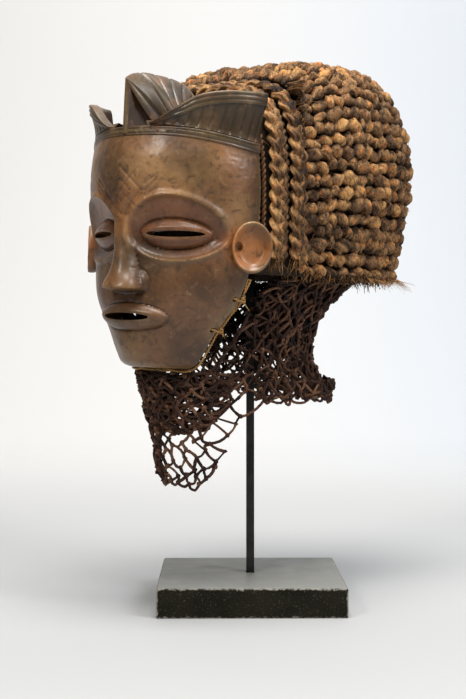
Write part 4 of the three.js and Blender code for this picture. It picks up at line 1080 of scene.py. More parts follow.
def wig_shell(material):
    """The fibre ground that the knots are tied on, open below and in front, coloured very dark as painted
    shade between the knots.
    """
    outer, inner = (
        (WIG_HALF_WIDTH - inset, WIG_HALF_DEPTH - inset, WIG_TOP_Z - inset, front)
        for inset, front in ((GROUND_INSET, WIG_FRONT_Y), (WIG_WALL, WIG_FRONT_Y - 1))
    )

    def rings(sizes, rows, columns, tuck):
        ups = evenly(lambda u: bonnet_point(0.5, u, sizes, tuck), rows)[0][:-1]
        around = evenly(lambda u: bonnet_point(u, 0 * u, sizes, tuck), columns)[0]
        return np.stack([bonnet_point(around, up, sizes, tuck) for up in ups])

    hollow = rings(inner, 40, 70, 0)
    hollow = np.concatenate([hollow[:1] - (0, 0, 6), hollow])

    def arch_ring(y, inset_x, inset_z, low, steps=60):
        half_width, top = lip_at(y)
        path = arch_path(y, half_width - inset_x, top - inset_z, WIG_BOTTOM_Z + 0.01, steps)
        path[0, 2] = path[-1, 2] = low
        return path

    back = WIG_FRONT_Y + LIP_WALL
    deep = LIP_FRONT[1] - (CHIN_Z + ROOF_TOP)
    lip = loft([arch_ring(LIP_FRONT_Y, 0, 0, WIG_BOTTOM_Z), arch_ring(back, 0, 0, WIG_BOTTOM_Z)])
    gap = loft([
        arch_ring(LIP_FRONT_Y - LIP_WALL, LIP_WALL, deep, WIG_BOTTOM_Z - LIP_WALL),
        arch_ring(back + LIP_WALL, LIP_WALL, deep, WIG_BOTTOM_Z - LIP_WALL),
    ])
    lip_piece = combine(lip, [("DIFFERENCE", gap)])
    piece = combine(loft(rings(outer, 60, 110, WIG_TUCK)), [("DIFFERENCE", loft(hollow))])
    join_or_cut(piece, "UNION", lip_piece)
    piece.name = piece.data.name = "wig_ground"
    dress(piece, material, "wig_fibre", "wig_right", "wig_left", "wig_band")


def wig_point(around, up):
    return bonnet_point(around, up + 0 * around, WIG_SIZES, WIG_TUCK)


def row_directions(around, up, gap):
    """Points along a row of knots, the directions along, out and up there, and the rows' distance."""
    centre = wig_point(around, up)
    step = 0.004
    lower, upper = (wig_point(around, np.clip(up + shift, 0, 1)) for shift in (-step, step))
    gradient = (upper - lower) / (2 * step)
    forward = unit(np.gradient(centre, axis=0))
    normal = unit(np.cross(forward, unit(gradient)))
    hub = np.array([0, WIG_MIDDLE_Y, 360.0])
    if np.einsum("ij,ij->i", normal, centre - hub).mean() < 0:
        normal = -normal
    pitch = np.clip(np.linalg.norm(gradient, axis=1) * gap, 8, 17)
    return centre, forward, normal, np.cross(normal, forward), pitch


def knot_row(shapes, row, up, gap, draw):
    """Adds a row of twisted fibre pinched into knots. Returns the line over its crowns and directions."""
    def line(u):
        return wig_point(u, up)

    total = evenly(line, 10)[1]
    if total < 40:
        return None
    knots = max(int(total / KNOT_LENGTH), 3)
    cuts = np.cumsum(draw.uniform(0.6, 1.45, knots))
    cuts = np.concatenate([[0], cuts / cuts[-1]])
    steps = np.arange(KNOT_STATIONS) / KNOT_STATIONS
    t = np.concatenate([mix(cuts[k], cuts[k + 1], steps) for k in range(knots)] + [[1.0]])
    around = np.interp(t, np.linspace(0, 1, 1201), evenly(line, 1200)[0])
    centre, forward, normal, climb, pitch = row_directions(around, up, gap)
    count = len(t)
    index = np.minimum(np.arange(count) // KNOT_STATIONS, knots - 1)
    local = (np.arange(count) % KNOT_STATIONS) / KNOT_STATIONS
    from_end = np.minimum(t, 1 - t) * total

    def each(low, high):
        """A random value for every knot, at each point of the row."""
        return draw.uniform(low, high, knots)[index]

    scale, lift, slide, lean = each(0.8, 1.16), each(-1.4, 1.5), each(-2.2, 2.2), each(-1.8, 1.8)
    arch = np.sin(np.pi * local)
    ends = ease(t * total, 0, 5) * ease((1 - t) * total, 0, 5)
    bulge = (0.4 + 0.6 * arch**0.6) * (0.6 + 0.4 * ends)
    high = 0.56 * pitch * scale * bulge
    deep = KNOT_DEPTH * scale * bulge
    blend = arch**0.7
    centre = centre + normal * (lift * blend - KNOT_SINK)[:, None]
    centre[:, 1] -= 3.5 * np.exp(-from_end / 6)
    waver = 1.3 * noise(centre, 37, row)
    centre = centre + climb * (slide * blend + lean * np.cos(np.pi * local) + waver)[:, None]

    sense = draw.choice([-1, 1], knots, p=[0.3, 0.7])[index]
    angle = round_angles(KNOT_SIDES)
    turned = angle[None, :] + (each(0, 2 * np.pi) + sense * KNOT_TWIST * local)[:, None]
    strands = np.abs(np.cos(2.5 * turned)) ** 0.6
    swell = 1 + (0.3 * strands - 0.2 + 0.08 * np.cos(3 * turned + 2)) * arch[:, None] ** 0.4
    ring = (
        centre[:, None, :]
        + (high[:, None] * swell * np.cos(angle))[..., None] * climb[:, None, :]
        + (deep[:, None] * swell * np.sin(angle))[..., None] * normal[:, None, :]
    )
    flat = ring.reshape(-1, 3)
    away = unit(flat - np.repeat(centre, KNOT_SIDES, axis=0))
    lumps = 0.9 * noise(flat, 5.2, row) + 0.5 * noise(flat, 2.4, 2 * row)
    flat = flat + away * lumps[:, None]

    chance = 0.03 + 0.24 * np.exp(-from_end / 26) + 0.1 * ease(up, 0.35, 0.05)
    golden = each(0, 1) < chance
    # Painted shade: each knot is darker in the grooves of its twist, on its side turned in to the wig, where
    # it is pinched thin and in its dents.
    tone = np.repeat(np.where(golden, 0.68, each(0.3, 0.56)), KNOT_SIDES) + 0.3 * (strands.ravel() - 0.7)
    tone = tone + 0.3 * (np.tile(np.sin(angle), count) - 0.55) + 0.22 * (np.repeat(bulge, KNOT_SIDES) - 0.8)
    lengthwise = (index * 9.1 + 1.4 * local)[:, None] + 0 * turned
    place = np.stack([2.4 * np.cos(turned), 2.4 * np.sin(turned), lengthwise], axis=-1).reshape(-1, 3)
    tone = tone + 0.26 * noise(place, 1.0, row) + 0.2 * noise(flat, 6.5, 4.4) + 0.16 * lumps / 1.8

    points = np.concatenate([flat, centre[:1], centre[-1:]])
    faces = outward(points - points.mean(0), *capped(count, KNOT_SIDES))
    shape = shapes[0 if centre[:, 2].mean() < KNOTS_PARTED_Z else 1]
    shape.add(points, *faces, np.concatenate([tone, [0.3, 0.3]]))
    return centre + normal * (deep * 0.95)[:, None], normal, forward, climb


def knot_rows(material):
    """Rows of knots laid round the wig one above the other, and the lines over their crowns."""
    draw = np.random.RandomState(11)

    def profile(u):
        return wig_point(0.2, u)

    rows = int(evenly(profile, 10)[1] / KNOT_ROW_SPACING)
    ups = evenly(profile, 2 * rows)[0][1::2]
    shapes = [Shape(), Shape()]
    crowns = []
    for row, up in enumerate(ups):
        below, above = max(row - 1, 0), min(row + 1, rows - 1)
        gap = (ups[above] - ups[below]) / max(above - below, 1)
        crown = knot_row(shapes, row, up, gap, draw)
        if crown:
            crowns.append(crown)
    for shape, name in zip(shapes, ("wig_knots_low", "wig_knots_high")):
        make(name, shape, material, "wig_fibre")
    return crowns


def wig_strays(crowns, material):
    """Loose fibres over the knots, a frayed lower edge, and strands that tie rows to the plait."""
    draw = np.random.RandomState(23)
    shape = Shape()
    tops, normals, forwards, climbs = (np.concatenate(parts) for parts in zip(*crowns))

    def spread(low, high, count=STRAY_COUNT):
        return draw.uniform(low, high, (count, 1))

    pick = draw.choice(len(tops), STRAY_COUNT, replace=False)
    sign = draw.choice([-1, 1], (STRAY_COUNT, 1))
    aim = unit(forwards[pick] * sign + normals[pick] * 0.16 + climbs[pick] * spread(-0.9, 0.9))
    tones = draw.choice([0.1, 0.25, 0.45, 0.6, 0.8], 60)
    hairs(shape, tops[pick] - normals[pick] * 1.0, aim, 8, 0.34, 0.1, 31, tones)

    top, normal, forward, _ = crowns[0]
    pick = draw.randint(0, len(top), STRAY_COUNT)
    down = np.array([0, 0, -1.0])
    aim = unit(down + normal[pick] * spread(-0.6, 0.45) + forward[pick] * spread(-1.3, 1.3))
    starts = top[pick] - normal[pick] * spread(1.5, 12) - (0, 0, 1) * spread(-2, 3.5)
    hairs(shape, starts, aim, 7.5, 0.55, 0.05, 32, draw.choice([0.08, 0.2, 0.4, 0.55, 0.75, 0.9], 60))

    corner = np.flatnonzero((top[:, 0] > 70) & (top[:, 1] > 40))
    pick = draw.choice(corner, CORNER_STRAYS)
    aim = normal[pick] * 0.8 + forward[pick] * spread(-0.9, 0.9, CORNER_STRAYS) + np.array([0.3, 0.1, -0.4])
    hairs(shape, top[pick] - normal[pick] * 2 - (0, 0, 3), unit(aim), 14, 0.24, 0.15, 33, [0.9, 0.75, 0.98])

    lip_width = lip_at(OUTER_PLAIT_Y)[0] + PLAIT_WIDTH / 2
    t = np.linspace(0, 1, 5)[:, None]
    for row, _, _, _ in crowns[:TIED_ROWS]:
        for start in (row[0], row[-1]):
            for _ in range(5):
                a = start + draw.uniform(-4.2, 4.2, 3) * (0.3, 0, 1) + (0, 2, 0)
                side = np.sign(a[0])
                b = np.array([side * lip_width, OUTER_PLAIT_Y + 2.0, a[2] + draw.uniform(-1.5, 1.5)])
                path = mix(a, b, t) + draw.normal(size=3) * 0.7 * np.sin(np.pi * t)
                tube(shape, path, 0.85, 5, draw.uniform(0.1, 0.6))
    make("wig_strays", shape, material, "wig_fibre")


# Neck net


def net_heights(c):
    """The net's upper and lower edge at the cosine of an angle."""
    side_top = WIG_BOTTOM_Z - CLEARANCE - 2
    chin_top = CHIN_Z - LASHING_DIAMETER - 2 - 3 * CLEARANCE
    top = mix(side_top, chin_top, ease(c, 0.3, 0.92))
    return top, mix(side_top - NET_SIDE_LENGTH, chin_top - NET_FLAP_LENGTH, ease(c, *NET_FLAP_EDGES))


def net_point(angle, share):
    """A point of the net's surface: angle 0 is the chin, share 0 the top edge and 1 the hem."""
    c, s = np.cos(angle), np.sin(angle)
    flap = ease(c, *NET_FLAP_EDGES)
    side = ease(-c, -0.7, -0.1)
    half_width = mix(mix(NET_JAW_HALF_WIDTH, NET_TOP_HALF_WIDTH, side), NET_LOW_HALF_WIDTH, share)
    reach = np.where(
        c > 0, mix(NET_TOP_FRONT, NET_LOW_FRONT, share), mix(NET_TOP_BACK, NET_LOW_BACK, share)
    )
    pull = 1 - NET_WAIST * np.sin(np.pi * np.clip(share, 0, 1)) * (1 - flap)
    narrow = 1 - NET_FLAP_NARROWING * share * flap
    top, hem = net_heights(c)
    return np.stack([
        half_width * s * pull * narrow,
        NET_MIDDLE_Y - reach * c * pull,
        mix(top, hem, share),
    ], axis=-1)


def knot_lump(shape, centre, size, draw, tone):
    """A small uneven ball for a knot of the net."""
    rings, sides = 3, 5
    theta = np.pi * (np.arange(rings) + 0.5) / rings
    phi = round_angles(sides)
    ball = np.stack([
        np.sin(theta)[:, None] * np.cos(phi)[None, :],
        np.sin(theta)[:, None] * np.sin(phi)[None, :],
        np.repeat(np.cos(theta)[:, None], sides, axis=1),
    ], axis=-1).reshape(-1, 3)
    ball = np.concatenate([ball, [[0, 0, 1.0], [0, 0, -1.0]]])
    ball = ball * (1 + draw.uniform(-0.22, 0.22, (len(ball), 1)))
    turn = np.linalg.qr(draw.normal(size=(3, 3)))[0]
    points = centre + (ball * size * draw.uniform(0.75, 1.25, 3)) @ turn
    shape.add(points, *outward(points - centre, *capped(rings, sides)), tone)


def strand(shape, path, radius, tone):
    tube(shape, path, radius, 5, tone, 0.9, 2, 0.16, 1.3)


def net_layer(shape, columns, rows, start, end, place, seed, radius, tones=(0.1, 0.8), uneven=1.0):
    """Knotted meshes over a surface, row by row, with uneven knots and slack strands.

    The place function gives the point at an angle and a level, or None where there is no net."""
    draw = np.random.RandomState(seed)
    knots = {}
    for j in range(rows + 1):
        for i in range(columns):
            turn = 2 * np.pi * (i + 0.5 * (j % 2) + uneven * draw.uniform(-0.33, 0.33)) / columns
            level = mix(start, end, (j + uneven * draw.uniform(-0.36, 0.36)) / rows)
            jolt = draw.uniform(-1.7, 1.7, 3) * uneven
            point = place(turn + 0.34 * math.sin(turn), level)
            if point is not None:
                knots[j, i] = point + jolt
    for (j, i), point in knots.items():
        tone = draw.uniform(*tones)
        knot_lump(shape, point, radius * 1.65, draw, tone)
        for across in (0, 1):
            other = knots.get((j + 1, (i + across - 1 + j % 2) % columns))
            slack = draw.uniform(-1.8, 1.8, 3) - (0, 0, draw.uniform(0, 1.2))
            width = radius * draw.uniform(0.75, 1.25)
            if draw.uniform() < 0.04 or other is None or np.linalg.norm(other - point) > 26:
                continue
            t = np.linspace(0, 1, 5)[:, None]
            path = mix(point, other, t) + slack * np.sin(np.pi * t)
            strand(shape, path, width, tone + draw.uniform(-0.15, 0.15))
    return knots


def net_place(squeeze, reach, edge):
    """Places on the net's surface by angle and height, drawn in towards the neck for its folds."""
    def place(angle, level):
        c = math.cos(angle)
        top, low = (float(value) for value in net_heights(c))
        hem = max(low, top - reach)
        if c > edge or level > top + 4 or level < hem - 4:
            return None
        point = net_point(angle, (top - min(max(level, hem), top)) / (top - low))
        middle = np.array([0, NET_MIDDLE_Y, point[2]])
        fold = 1 + (1 - squeeze) * (0.5 * math.sin(5 * angle + 0.05 * level) + 0.4 * math.sin(11 * angle))
        return middle + (point - middle) * (squeeze * fold, squeeze * fold, 1)
    return place


def flap_place(squeeze):
    """Places on a second thickness of net in the flap under the chin."""
    place = net_place(squeeze, NET_FLAP_LENGTH * 0.52, 2)
    return lambda angle, level: place(angle, level) if math.cos(angle) > 0.3 else None


def tucked_place(depth):
    """Places in the net that is tucked up inside the wood, behind the mouth and the chin."""
    def place(angle, level):
        half_width, _, rear = (float(value) for value in section_at(level - CHIN_Z))
        x = (half_width - 14) * (angle / math.pi - 1)
        return np.array([x, rear - depth + 2.5 * math.sin(4 * angle + 0.2 * level), level])
    return place


def rolled_hem(angle, share):
    """A place round the roll of net that is turned up at the hem, fattest behind the right side."""
    c = math.cos(angle)
    if c > 0.5:
        return None
    swell = 0.6 + 0.4 * float(ease(math.sin(angle), 0.2, 0.9))
    radius = NET_ROLL_RADIUS * swell * float(ease(-c, -0.62, -0.3))
    rim = net_point(angle, 0.97)
    middle = np.array([0, NET_MIDDLE_Y, rim[2]])
    away = (rim - middle) / np.linalg.norm(rim - middle)
    turn = 2 * math.pi * share
    return rim + radius * (away * math.sin(turn) * 0.8 + np.array([0, 0, 1.0]) * (0.7 - math.cos(turn)))


def edge_of(knots, columns, pick):
    """The highest or lowest knot of each column."""
    rows = {}
    for j, i in knots:
        rows.setdefault(i, []).append(j)
    return [knots[pick(rows[i]), i] if i in rows else None for i in range(columns)]


def edge_loops(shape, knots):
    """Slack loops of twine from knot to knot along the net's upper edge and its hem."""
    draw = np.random.RandomState(5)
    for pick, fall in ((min, 0.5), (max, 5.5)):
        edge = edge_of(knots, NET_COLUMNS, pick)
        for a, b in zip(edge, edge[1:] + edge[:1]):
            sway, drop = draw.uniform(-1.5, 1.5, 3), np.array([0, 0, -draw.uniform(0.3, 1) * fall])
            tone = draw.uniform(0.1, 0.7)
            if a is None or b is None or np.linalg.norm(a - b) > 34:
                continue
            loop = [a, mix(a, b, 0.25) + drop * 0.8 + sway, mix(a, b, 0.7) + drop + sway, b]
            strand(shape, smooth_path(loop, 2.2), NET_TWINE_RADIUS, tone)


def neck_net(material):
    """The net, and the further thicknesses where it is folded, gathered, tucked and rolled."""
    highest, lowest = WIG_BOTTOM_Z - 2, CHIN_Z - NET_FLAP_LENGTH - 6
    shape = Shape()
    whole = net_place(1.0, 400, 2)
    knots = net_layer(shape, NET_COLUMNS, NET_ROWS, highest, lowest, whole, 3, NET_TWINE_RADIUS)
    edge_loops(shape, knots)
    make("net", shape, material, "net_fibre", "neck_net_1", "neck_net_2", "neck_net_3", "neck_net_4")

    for name, layers in FOLD_LAYERS:
        shape = Shape()
        for columns, rows, squeeze, reach, edge, lightest in layers:
            net_layer(
                shape, columns, rows, highest, highest - reach, net_place(squeeze, reach, edge),
                columns + rows, NET_TWINE_RADIUS * 1.05, (0.0, lightest))
        make(name, shape, material, "net_fibre")

    shape = Shape()
    for columns, squeeze, seed in FLAP_LAYERS:
        net_layer(
            shape, columns, NET_ROWS, CHIN_Z - 4, lowest + 6, flap_place(squeeze), seed,
            NET_TWINE_RADIUS, (0.1, 0.75))
    make("net_flap", shape, material, "net_fibre")

    # Painted shade: the tucked layers get only dark tones.
    shape = Shape()
    for depth, seed in TUCKED_LAYERS:
        net_layer(shape, 20, 11, CHIN_Z + 68, CHIN_Z + 4, tucked_place(depth), seed, 1.5, (0.0, 0.35), 0.7)
    make("net_tucked", shape, material, "net_fibre")

    shape = Shape()
    net_layer(shape, 46, 5, 0, 1, rolled_hem, 77, NET_TWINE_RADIUS, (0.15, 0.85), 0.7)
    make("net_roll", shape, material, "net_fibre")


# Materials


class Nodes:
    """Short ways to add shader nodes to one material."""

    def __init__(self, name, roughness=0.5, metallic=0.0, specular=0.5):
        self.material = bpy.data.materials.new(name)
        self.material.use_nodes = True
        self.tree = self.material.node_tree
        self.shader = self.tree.nodes["Principled BSDF"]
        self.shader.inputs["Roughness"].default_value = roughness
        self.shader.inputs["Metallic"].default_value = metallic
        self.shader.inputs["Specular IOR Level"].default_value = specular
        self.place = self.tree.nodes.new("ShaderNodeTexCoord").outputs["Object"]

    def link(self, source, target):
        self.tree.links.new(source, target)

    def set(self, socket, source):
        if hasattr(source, "links"):
            self.link(source, socket)
        else:
            socket.default_value = source

    def add(self, kind, output, inputs, **settings):
        """One output of a new node, with its settings made and its inputs set or linked."""
        node = self.tree.nodes.new("ShaderNode" + kind)
        for name, value in settings.items():
            setattr(node, name, value)
        for name, value in inputs.items():
            self.set(node.inputs[name], value)
        return node.outputs[output]

    def stretch(self, scale, rotation=(0, 0, 0)):
        return self.add("Mapping", "Vector", {"Vector": self.place, "Scale": scale, "Rotation": rotation})

    def noise(self, size_mm, detail=4.0, vector=None, distortion=0.0, roughness=0.55):
        return self.add("TexNoise", "Fac", {
            "Vector": vector or self.place, "Scale": 1000 / size_mm, "Detail": detail,
            "Roughness": roughness, "Distortion": distortion,
        })

    def cells(self, size_mm):
        return self.add("TexVoronoi", "Distance", {"Vector": self.place, "Scale": 1000 / size_mm})

    def math(self, operation, a, b=0.0, clamp=False):
        return self.add("Math", "Value", {0: a, 1: b}, operation=operation, use_clamp=clamp)

    def around_zero(self, value):
        return self.math("SUBTRACT", value, 0.5)

    def remap(self, value, low, high, to_low=0.0, to_high=1.0):
        return self.add("MapRange", "Result", {
            "Value": value, "From Min": low, "From Max": high, "To Min": to_low, "To Max": to_high,
        }, interpolation_type="SMOOTHSTEP")

    def axes(self):
        """The place along x, y and z."""
        return self.add("SeparateXYZ", 0, {0: self.place}).node.outputs

    def ramp(self, value, stops):
        node = self.tree.nodes.new("ShaderNodeValToRGB")
        elements = node.color_ramp.elements
        while len(elements) < len(stops):
            elements.new(0.5)
        for element, (position, colour) in zip(elements, stops):
            element.position = position
            element.color = (*colour, 1)
        self.link(value, node.inputs["Fac"])
        return node.outputs["Color"]

    def blend(self, factor, a, b, mode="MIX"):
        node = self.tree.nodes.new("ShaderNodeMix")
        node.data_type = "RGBA"
        node.blend_type = mode
        self.set(node.inputs["Factor"], factor)
        colours = [socket for socket in node.inputs if socket.type == "RGBA"]
        for socket, value in zip(colours, (a, b)):
            self.set(socket, (*value, 1) if isinstance(value, tuple) else value)
        return next(socket for socket in node.outputs if socket.type == "RGBA")

    def attribute(self, name, output="Fac"):
        return self.add("Attribute", output, {}, attribute_name=name)

    def bump(self, height, distance_mm, strength=1.0, normal=None):
        inputs = {"Strength": strength, "Distance": distance_mm / 1000, "Height": height}
        if normal:
            inputs["Normal"] = normal
        return self.add("Bump", "Normal", inputs)

    def finish(self, colour=None, roughness=None, normal=None):
        if colour is not None:
            self.link(colour, self.shader.inputs["Base Color"])
        if roughness is not None:
            self.link(roughness, self.shader.inputs["Roughness"])
        if normal is not None:
            self.link(normal, self.shader.inputs["Normal"])
        return self.material


def wood_material():
    """Dark oiled wood, mottled and handled smooth, with small pits."""
    n = Nodes("carved_wood", 0.4, 0.0, 0.34)
    n.shader.inputs["Coat Weight"].default_value = 0.3
    n.shader.inputs["Coat Roughness"].default_value = 0.24
    tint_and_painted_light = n.attribute("tint_and_painted_light", "Color")
    grain = n.noise(1.3, 5, n.stretch((1, 1, 0.22)), 0.4)
    patches = n.noise(19, 5, None, 0.6)
    stains = n.noise(7, 5, None, 0.8)
    specks = n.cells(3.4)
    colour = n.blend(n.remap(grain, 0.4, 0.75, 0.0, 0.16), tint_and_painted_light, (0.025, 0.012, 0.006))
    colour = n.blend(n.remap(patches, 0.48, 0.7, 0.0, 0.5), colour, (0.17, 0.075, 0.03))
    colour = n.blend(n.remap(stains, 0.5, 0.28, 0.0, 0.7), colour, (0.034, 0.017, 0.008))
    colour = n.blend(n.remap(stains, 0.56, 0.76, 0.0, 0.5), colour, (0.22, 0.14, 0.075))
    pits = n.remap(specks, 0.02, 0.12, 1.0, 0.0)
    rare = n.remap(n.noise(9, 2), 0.58, 0.66, 0.0, 1.0)
    colour = n.blend(n.math("MULTIPLY", n.math("MULTIPLY", pits, rare), 0.6), colour, (0.015, 0.008, 0.005))
    rough = n.math("ADD", n.remap(patches, 0.3, 0.7, 0.34, 0.47), n.math("MULTIPLY", grain, 0.1))
    fine = n.bump(grain, 0.06, 0.5)
    return n.finish(colour, rough, n.bump(stains, 0.35, 0.5, fine))


def fibre_material(name, stops, size_mm, bump_mm, roughness=0.8):
    """Fibre from dark to golden by its tone, with fine strands, warm patches and painted shade in the gaps.
    """
    n = Nodes(name, roughness, 0.0, 0.22)
    fine = n.noise(size_mm, 6, n.stretch((1, 1, 0.45), (0.5, 0.3, 0)), 0.8, 0.68)
    broad = n.noise(size_mm * 7, 3)
    value = n.math("ADD", n.attribute("tone"), n.around_zero(fine))
    value = n.math("ADD", value, n.math("MULTIPLY", n.around_zero(broad), 0.5), True)
    colour = n.ramp(value, stops)
    warm = n.noise(size_mm * 4, 3, None, 1.0)
    colour = n.blend(n.remap(warm, 0.51, 0.68, 0.0, 0.9), colour, (1.4, 0.94, 0.6), "MULTIPLY")
    # Painted shade in the fine gaps between fibres, where the bump is lowest.
    colour = n.blend(n.remap(fine, 0.5, 0.32, 0.0, 0.75), colour, tuple(0.3 * c for c in stops[0][1]))
    shine = n.remap(fine, 0.3, 0.7, roughness + 0.1, roughness - 0.12)
    return n.finish(colour, shine, n.bump(fine, bump_mm, 1.0))


def block_material():
    """Black paint, grey on top partly from dusting and partly as a painted reflection, and worn pale along
    the edges.
    """
    n = Nodes("painted_block", 0.5, 0.0, 0.08)
    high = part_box("stand_base")[1]
    across, back, height = n.axes()
    x = n.math("SUBTRACT", high.x, n.math("ABSOLUTE", across))
    y = n.math("SUBTRACT", high.y, n.math("ABSOLUTE", back))
    z = n.math("MINIMUM", n.math("SUBTRACT", high.z, height), height)
    level = n.math("MAXIMUM", n.math("MINIMUM", x, y), z)
    upright = n.math("MAXIMUM", x, y)
    edge = n.math("MINIMUM", level, upright)
    chips = n.noise(3.5, 6, None, 0.5)
    ragged = n.math("ADD", edge, n.math("MULTIPLY", n.around_zero(chips), 0.0065))
    worn = n.remap(ragged, 0.0002, 0.0016, 1.0, 0.0)
    top = n.remap(height, high.z - 0.0004, high.z - 0.0001)
    cloud = n.noise(26, 5, None, 0.4)
    speck = n.noise(1.1, 3)
    # The top's grey is partly dusting and partly a painted reflection; the sides are black paint.
    dust_and_sheen = n.blend(n.remap(cloud, 0.3, 0.7, 0.15, 0.85), (0.178, 0.179, 0.166), (0.206, 0.207, 0.193))
    side = n.blend(n.remap(cloud, 0.3, 0.7), (0.007, 0.0062, 0.0035), (0.013, 0.0115, 0.0065))
    colour = n.blend(top, side, dust_and_sheen)
    colour = n.blend(n.remap(speck, 0.6, 0.75, 0.0, 0.5), colour, (0.17, 0.16, 0.145))
    colour = n.blend(n.math("MULTIPLY", worn, 0.75), colour, (0.3, 0.28, 0.24))
    grain = n.noise(1.4, 4, n.stretch((0.08, 1, 1)))
    return n.finish(colour, n.remap(cloud, 0.3, 0.7, 0.42, 0.62), n.bump(grain, 0.12, 0.5))


def rod_material():
    n = Nodes("blackened_steel", 0.42, 0.2, 0.3)
    cloud = n.noise(18, 4)
    colour = n.blend(n.remap(cloud, 0.35, 0.7), (0.009, 0.009, 0.009), (0.028, 0.027, 0.026))
    fine = n.noise(1.2, 3, n.stretch((1, 1, 0.05)))
    return n.finish(colour, n.remap(cloud, 0.3, 0.7, 0.34, 0.52), n.bump(fine, 0.05, 0.4))


# Stage, lights and camera

SENSOR = 36
PHOTO_SIZE_PX = (466, 699)
FOCAL_LENGTH_PX = 1323
STRAIGHT_VIEW_PX = (221.5, 344)


def stage():
    """A sweep of paper, level under the stand and upright behind it."""
    turns = [math.pi / 2 * k / 24 for k in range(25)]
    sweep = [(1.6 + 1.2 * math.sin(turn), 1.2 - 1.2 * math.cos(turn)) for turn in turns]
    profile = [(-3.0, 0.0), (0.0, 0.0), (0.8, 0.0)] + sweep + [(2.8, 2.6), (2.8, 4.0)]
    points = [(x, y, z) for y, z in profile for x in (-5.0, 5.0)]
    faces = [(2 * k, 2 * k + 1, 2 * k + 3, 2 * k + 2) for k in range(len(profile) - 1)]
    mesh = bpy.data.meshes.new("backdrop")
    mesh.from_pydata(points, [], faces)
    mesh.shade_smooth()
    floor = new_object("backdrop", mesh)
    n = Nodes("backdrop_paper", 0.75, 0.0, 0.2)
    across, back, _ = n.axes()
    # Painted light: the paper is darker on the floor near the stand, lighter up the wall, and bluer towards
    # the right and the back.
    painted_cool_light = n.math("MULTIPLY", n.remap(across, -0.25, 0.9), n.remap(back, 0.1, 1.6))
    wall = n.blend(painted_cool_light, (0.765, 0.755, 0.738), (0.67, 0.705, 0.745))
    colour = n.blend(n.remap(back, 0.2, 1.9), (0.405, 0.41, 0.415), wall)
    mesh.materials.append(n.finish(colour))


def area_light(name, location, target, size, power, colour):
    data = bpy.data.lights.new(name, "AREA")
    data.shape = "RECTANGLE"
    data.size, data.size_y = size
    data.energy = power
    data.color = colour
    light = bpy.data.objects.new(name, data)
    bpy.context.scene.collection.objects.link(light)
    light.location = location
    light.rotation_euler = (Vector(target) - Vector(location)).to_track_quat("-Z", "Y").to_euler()


def lights():
    world = bpy.data.worlds.new("room")
    bpy.context.scene.world = world
    world.use_nodes = True
    background = world.node_tree.nodes["Background"]
    background.inputs["Color"].default_value = (0.93, 0.96, 1.0, 1)
    background.inputs["Strength"].default_value = 0.12
    area_light("window", (1.4, -1.2, 1.5), (0, 0, 0.3), (0.6, 0.9), 27, (0.97, 0.98, 1.0))
    area_light("front_left", (-1.2, -1.7, 1.5), (0, 0, 0.3), (0.4, 0.5), 20, (1.0, 0.95, 0.87))
    area_light("overhead", (0.0, -0.55, 1.8), (0, 0, 0.3), (0.8, 0.8), 44, (1.0, 0.98, 0.94))
    area_light("backdrop_wash", (0.3, 0.9, 2.4), (0.2, 2.4, 0.6), (2.6, 0.8), 46, (0.99, 0.99, 1.0))
    bpy.context.scene.view_settings.view_transform = "Standard"
    bpy.context.scene.view_settings.look = "None"


def camera():
    """The photograph's camera: level, close in front of the head, aimed a little off the straight view."""
    data = bpy.data.cameras.new("camera")
    data.sensor_width = SENSOR
    data.lens = FOCAL_LENGTH_PX / PHOTO_SIZE_PX[1] * SENSOR
    view = bpy.data.objects.new("camera", data)
    bpy.context.scene.collection.objects.link(view)
    view.location = (-0.0255, -1.177, 0.228)
    across = (PHOTO_SIZE_PX[0] / 2 - STRAIGHT_VIEW_PX[0]) / FOCAL_LENGTH_PX
    down = (PHOTO_SIZE_PX[1] / 2 - STRAIGHT_VIEW_PX[1]) / FOCAL_LENGTH_PX
    aim = Vector((across, 1, -down))
    view.rotation_euler = aim.to_track_quat("-Z", "Y").to_euler()
    data.clip_start = 0.05
    bpy.context.scene.camera = view


camera()
stage()
lights()

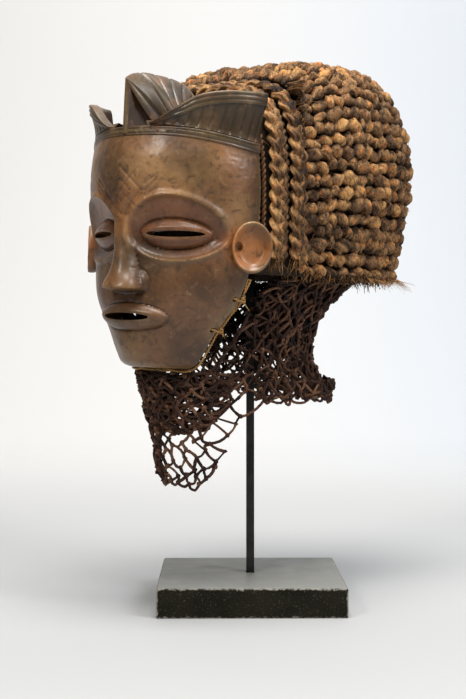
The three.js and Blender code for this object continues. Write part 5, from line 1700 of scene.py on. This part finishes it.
WOOD = wood_material()
WIG = fibre_material("wig_fibre", [
    (0.0, (0.010, 0.005, 0.002)), (0.28, (0.048, 0.025, 0.011)), (0.5, (0.136, 0.076, 0.036)),
    (0.72, (0.285, 0.15, 0.062)), (1.0, (0.52, 0.28, 0.1)),
], 1.5, 1.5)
# The ground's very dark colours are painted shade in the gaps between the knots.
GROUND = fibre_material("wig_ground", [
    (0.0, (0.010, 0.006, 0.003)), (0.5, (0.028, 0.016, 0.008)), (1.0, (0.07, 0.042, 0.02)),
], 1.6, 0.8)
PLAITS = fibre_material("plait_fibre", [
    (0.0, (0.016, 0.008, 0.004)), (0.3, (0.098, 0.049, 0.019)), (0.6, (0.245, 0.13, 0.052)),
    (1.0, (0.46, 0.26, 0.105)),
], 1.3, 1.0, 0.72)
DARK_CORD = fibre_material("edge_cord_fibre", [
    (0.0, (0.03, 0.014, 0.006)), (0.5, (0.16, 0.08, 0.034)), (1.0, (0.33, 0.18, 0.07)),
], 0.9, 0.3, 0.72)
DARK_BRAID = fibre_material("dark_braid", [
    (0.0, (0.02, 0.011, 0.006)), (0.5, (0.085, 0.05, 0.026)), (1.0, (0.2, 0.12, 0.06)),
], 0.9, 0.3, 0.72)
NET = fibre_material("net_twine", [
    (0.0, (0.010, 0.005, 0.004)), (0.45, (0.045, 0.02, 0.012)), (0.75, (0.13, 0.065, 0.036)),
    (1.0, (0.23, 0.125, 0.07)),
], 0.9, 0.3, 0.75)
GOLDEN = fibre_material("golden_cord", [
    (0.0, (0.12, 0.065, 0.022)), (0.5, (0.32, 0.18, 0.06)), (1.0, (0.52, 0.32, 0.12)),
], 0.8, 0.25, 0.65)

mask = carved_mask()
mask.name = mask.data.name = "mask_wood"
paint_wood(mask)
dress(mask, WOOD, "wood", "carved_mask")
mask.data.set_sharp_from_angle(angle=math.radians(48))

plait("inner_braid", "inner_plait", INNER_PLAIT_Y, 1, PLAITS, 0.7)
plait("outer_braid", "outer_plait", OUTER_PLAIT_Y, 2, PLAITS, 0.57)
lip_cord("edge_cord_front", "front_edge_cord", FRONT_CORD_Y, DARK_CORD, 0.55, 3)
lip_cord("edge_cord_back", "back_edge_cord", BACK_CORD_Y, DARK_CORD, 0.35, 4)
divider(DARK_BRAID)
lashing(GOLDEN)

wig_shell(GROUND)
wig_strays(knot_rows(WIG), WIG)
neck_net(NET)

for node, material in (("stand_base", block_material()), ("stand_rod", rod_material())):
    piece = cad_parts[node]
    piece.data.materials.clear()
    piece.data.materials.append(material)
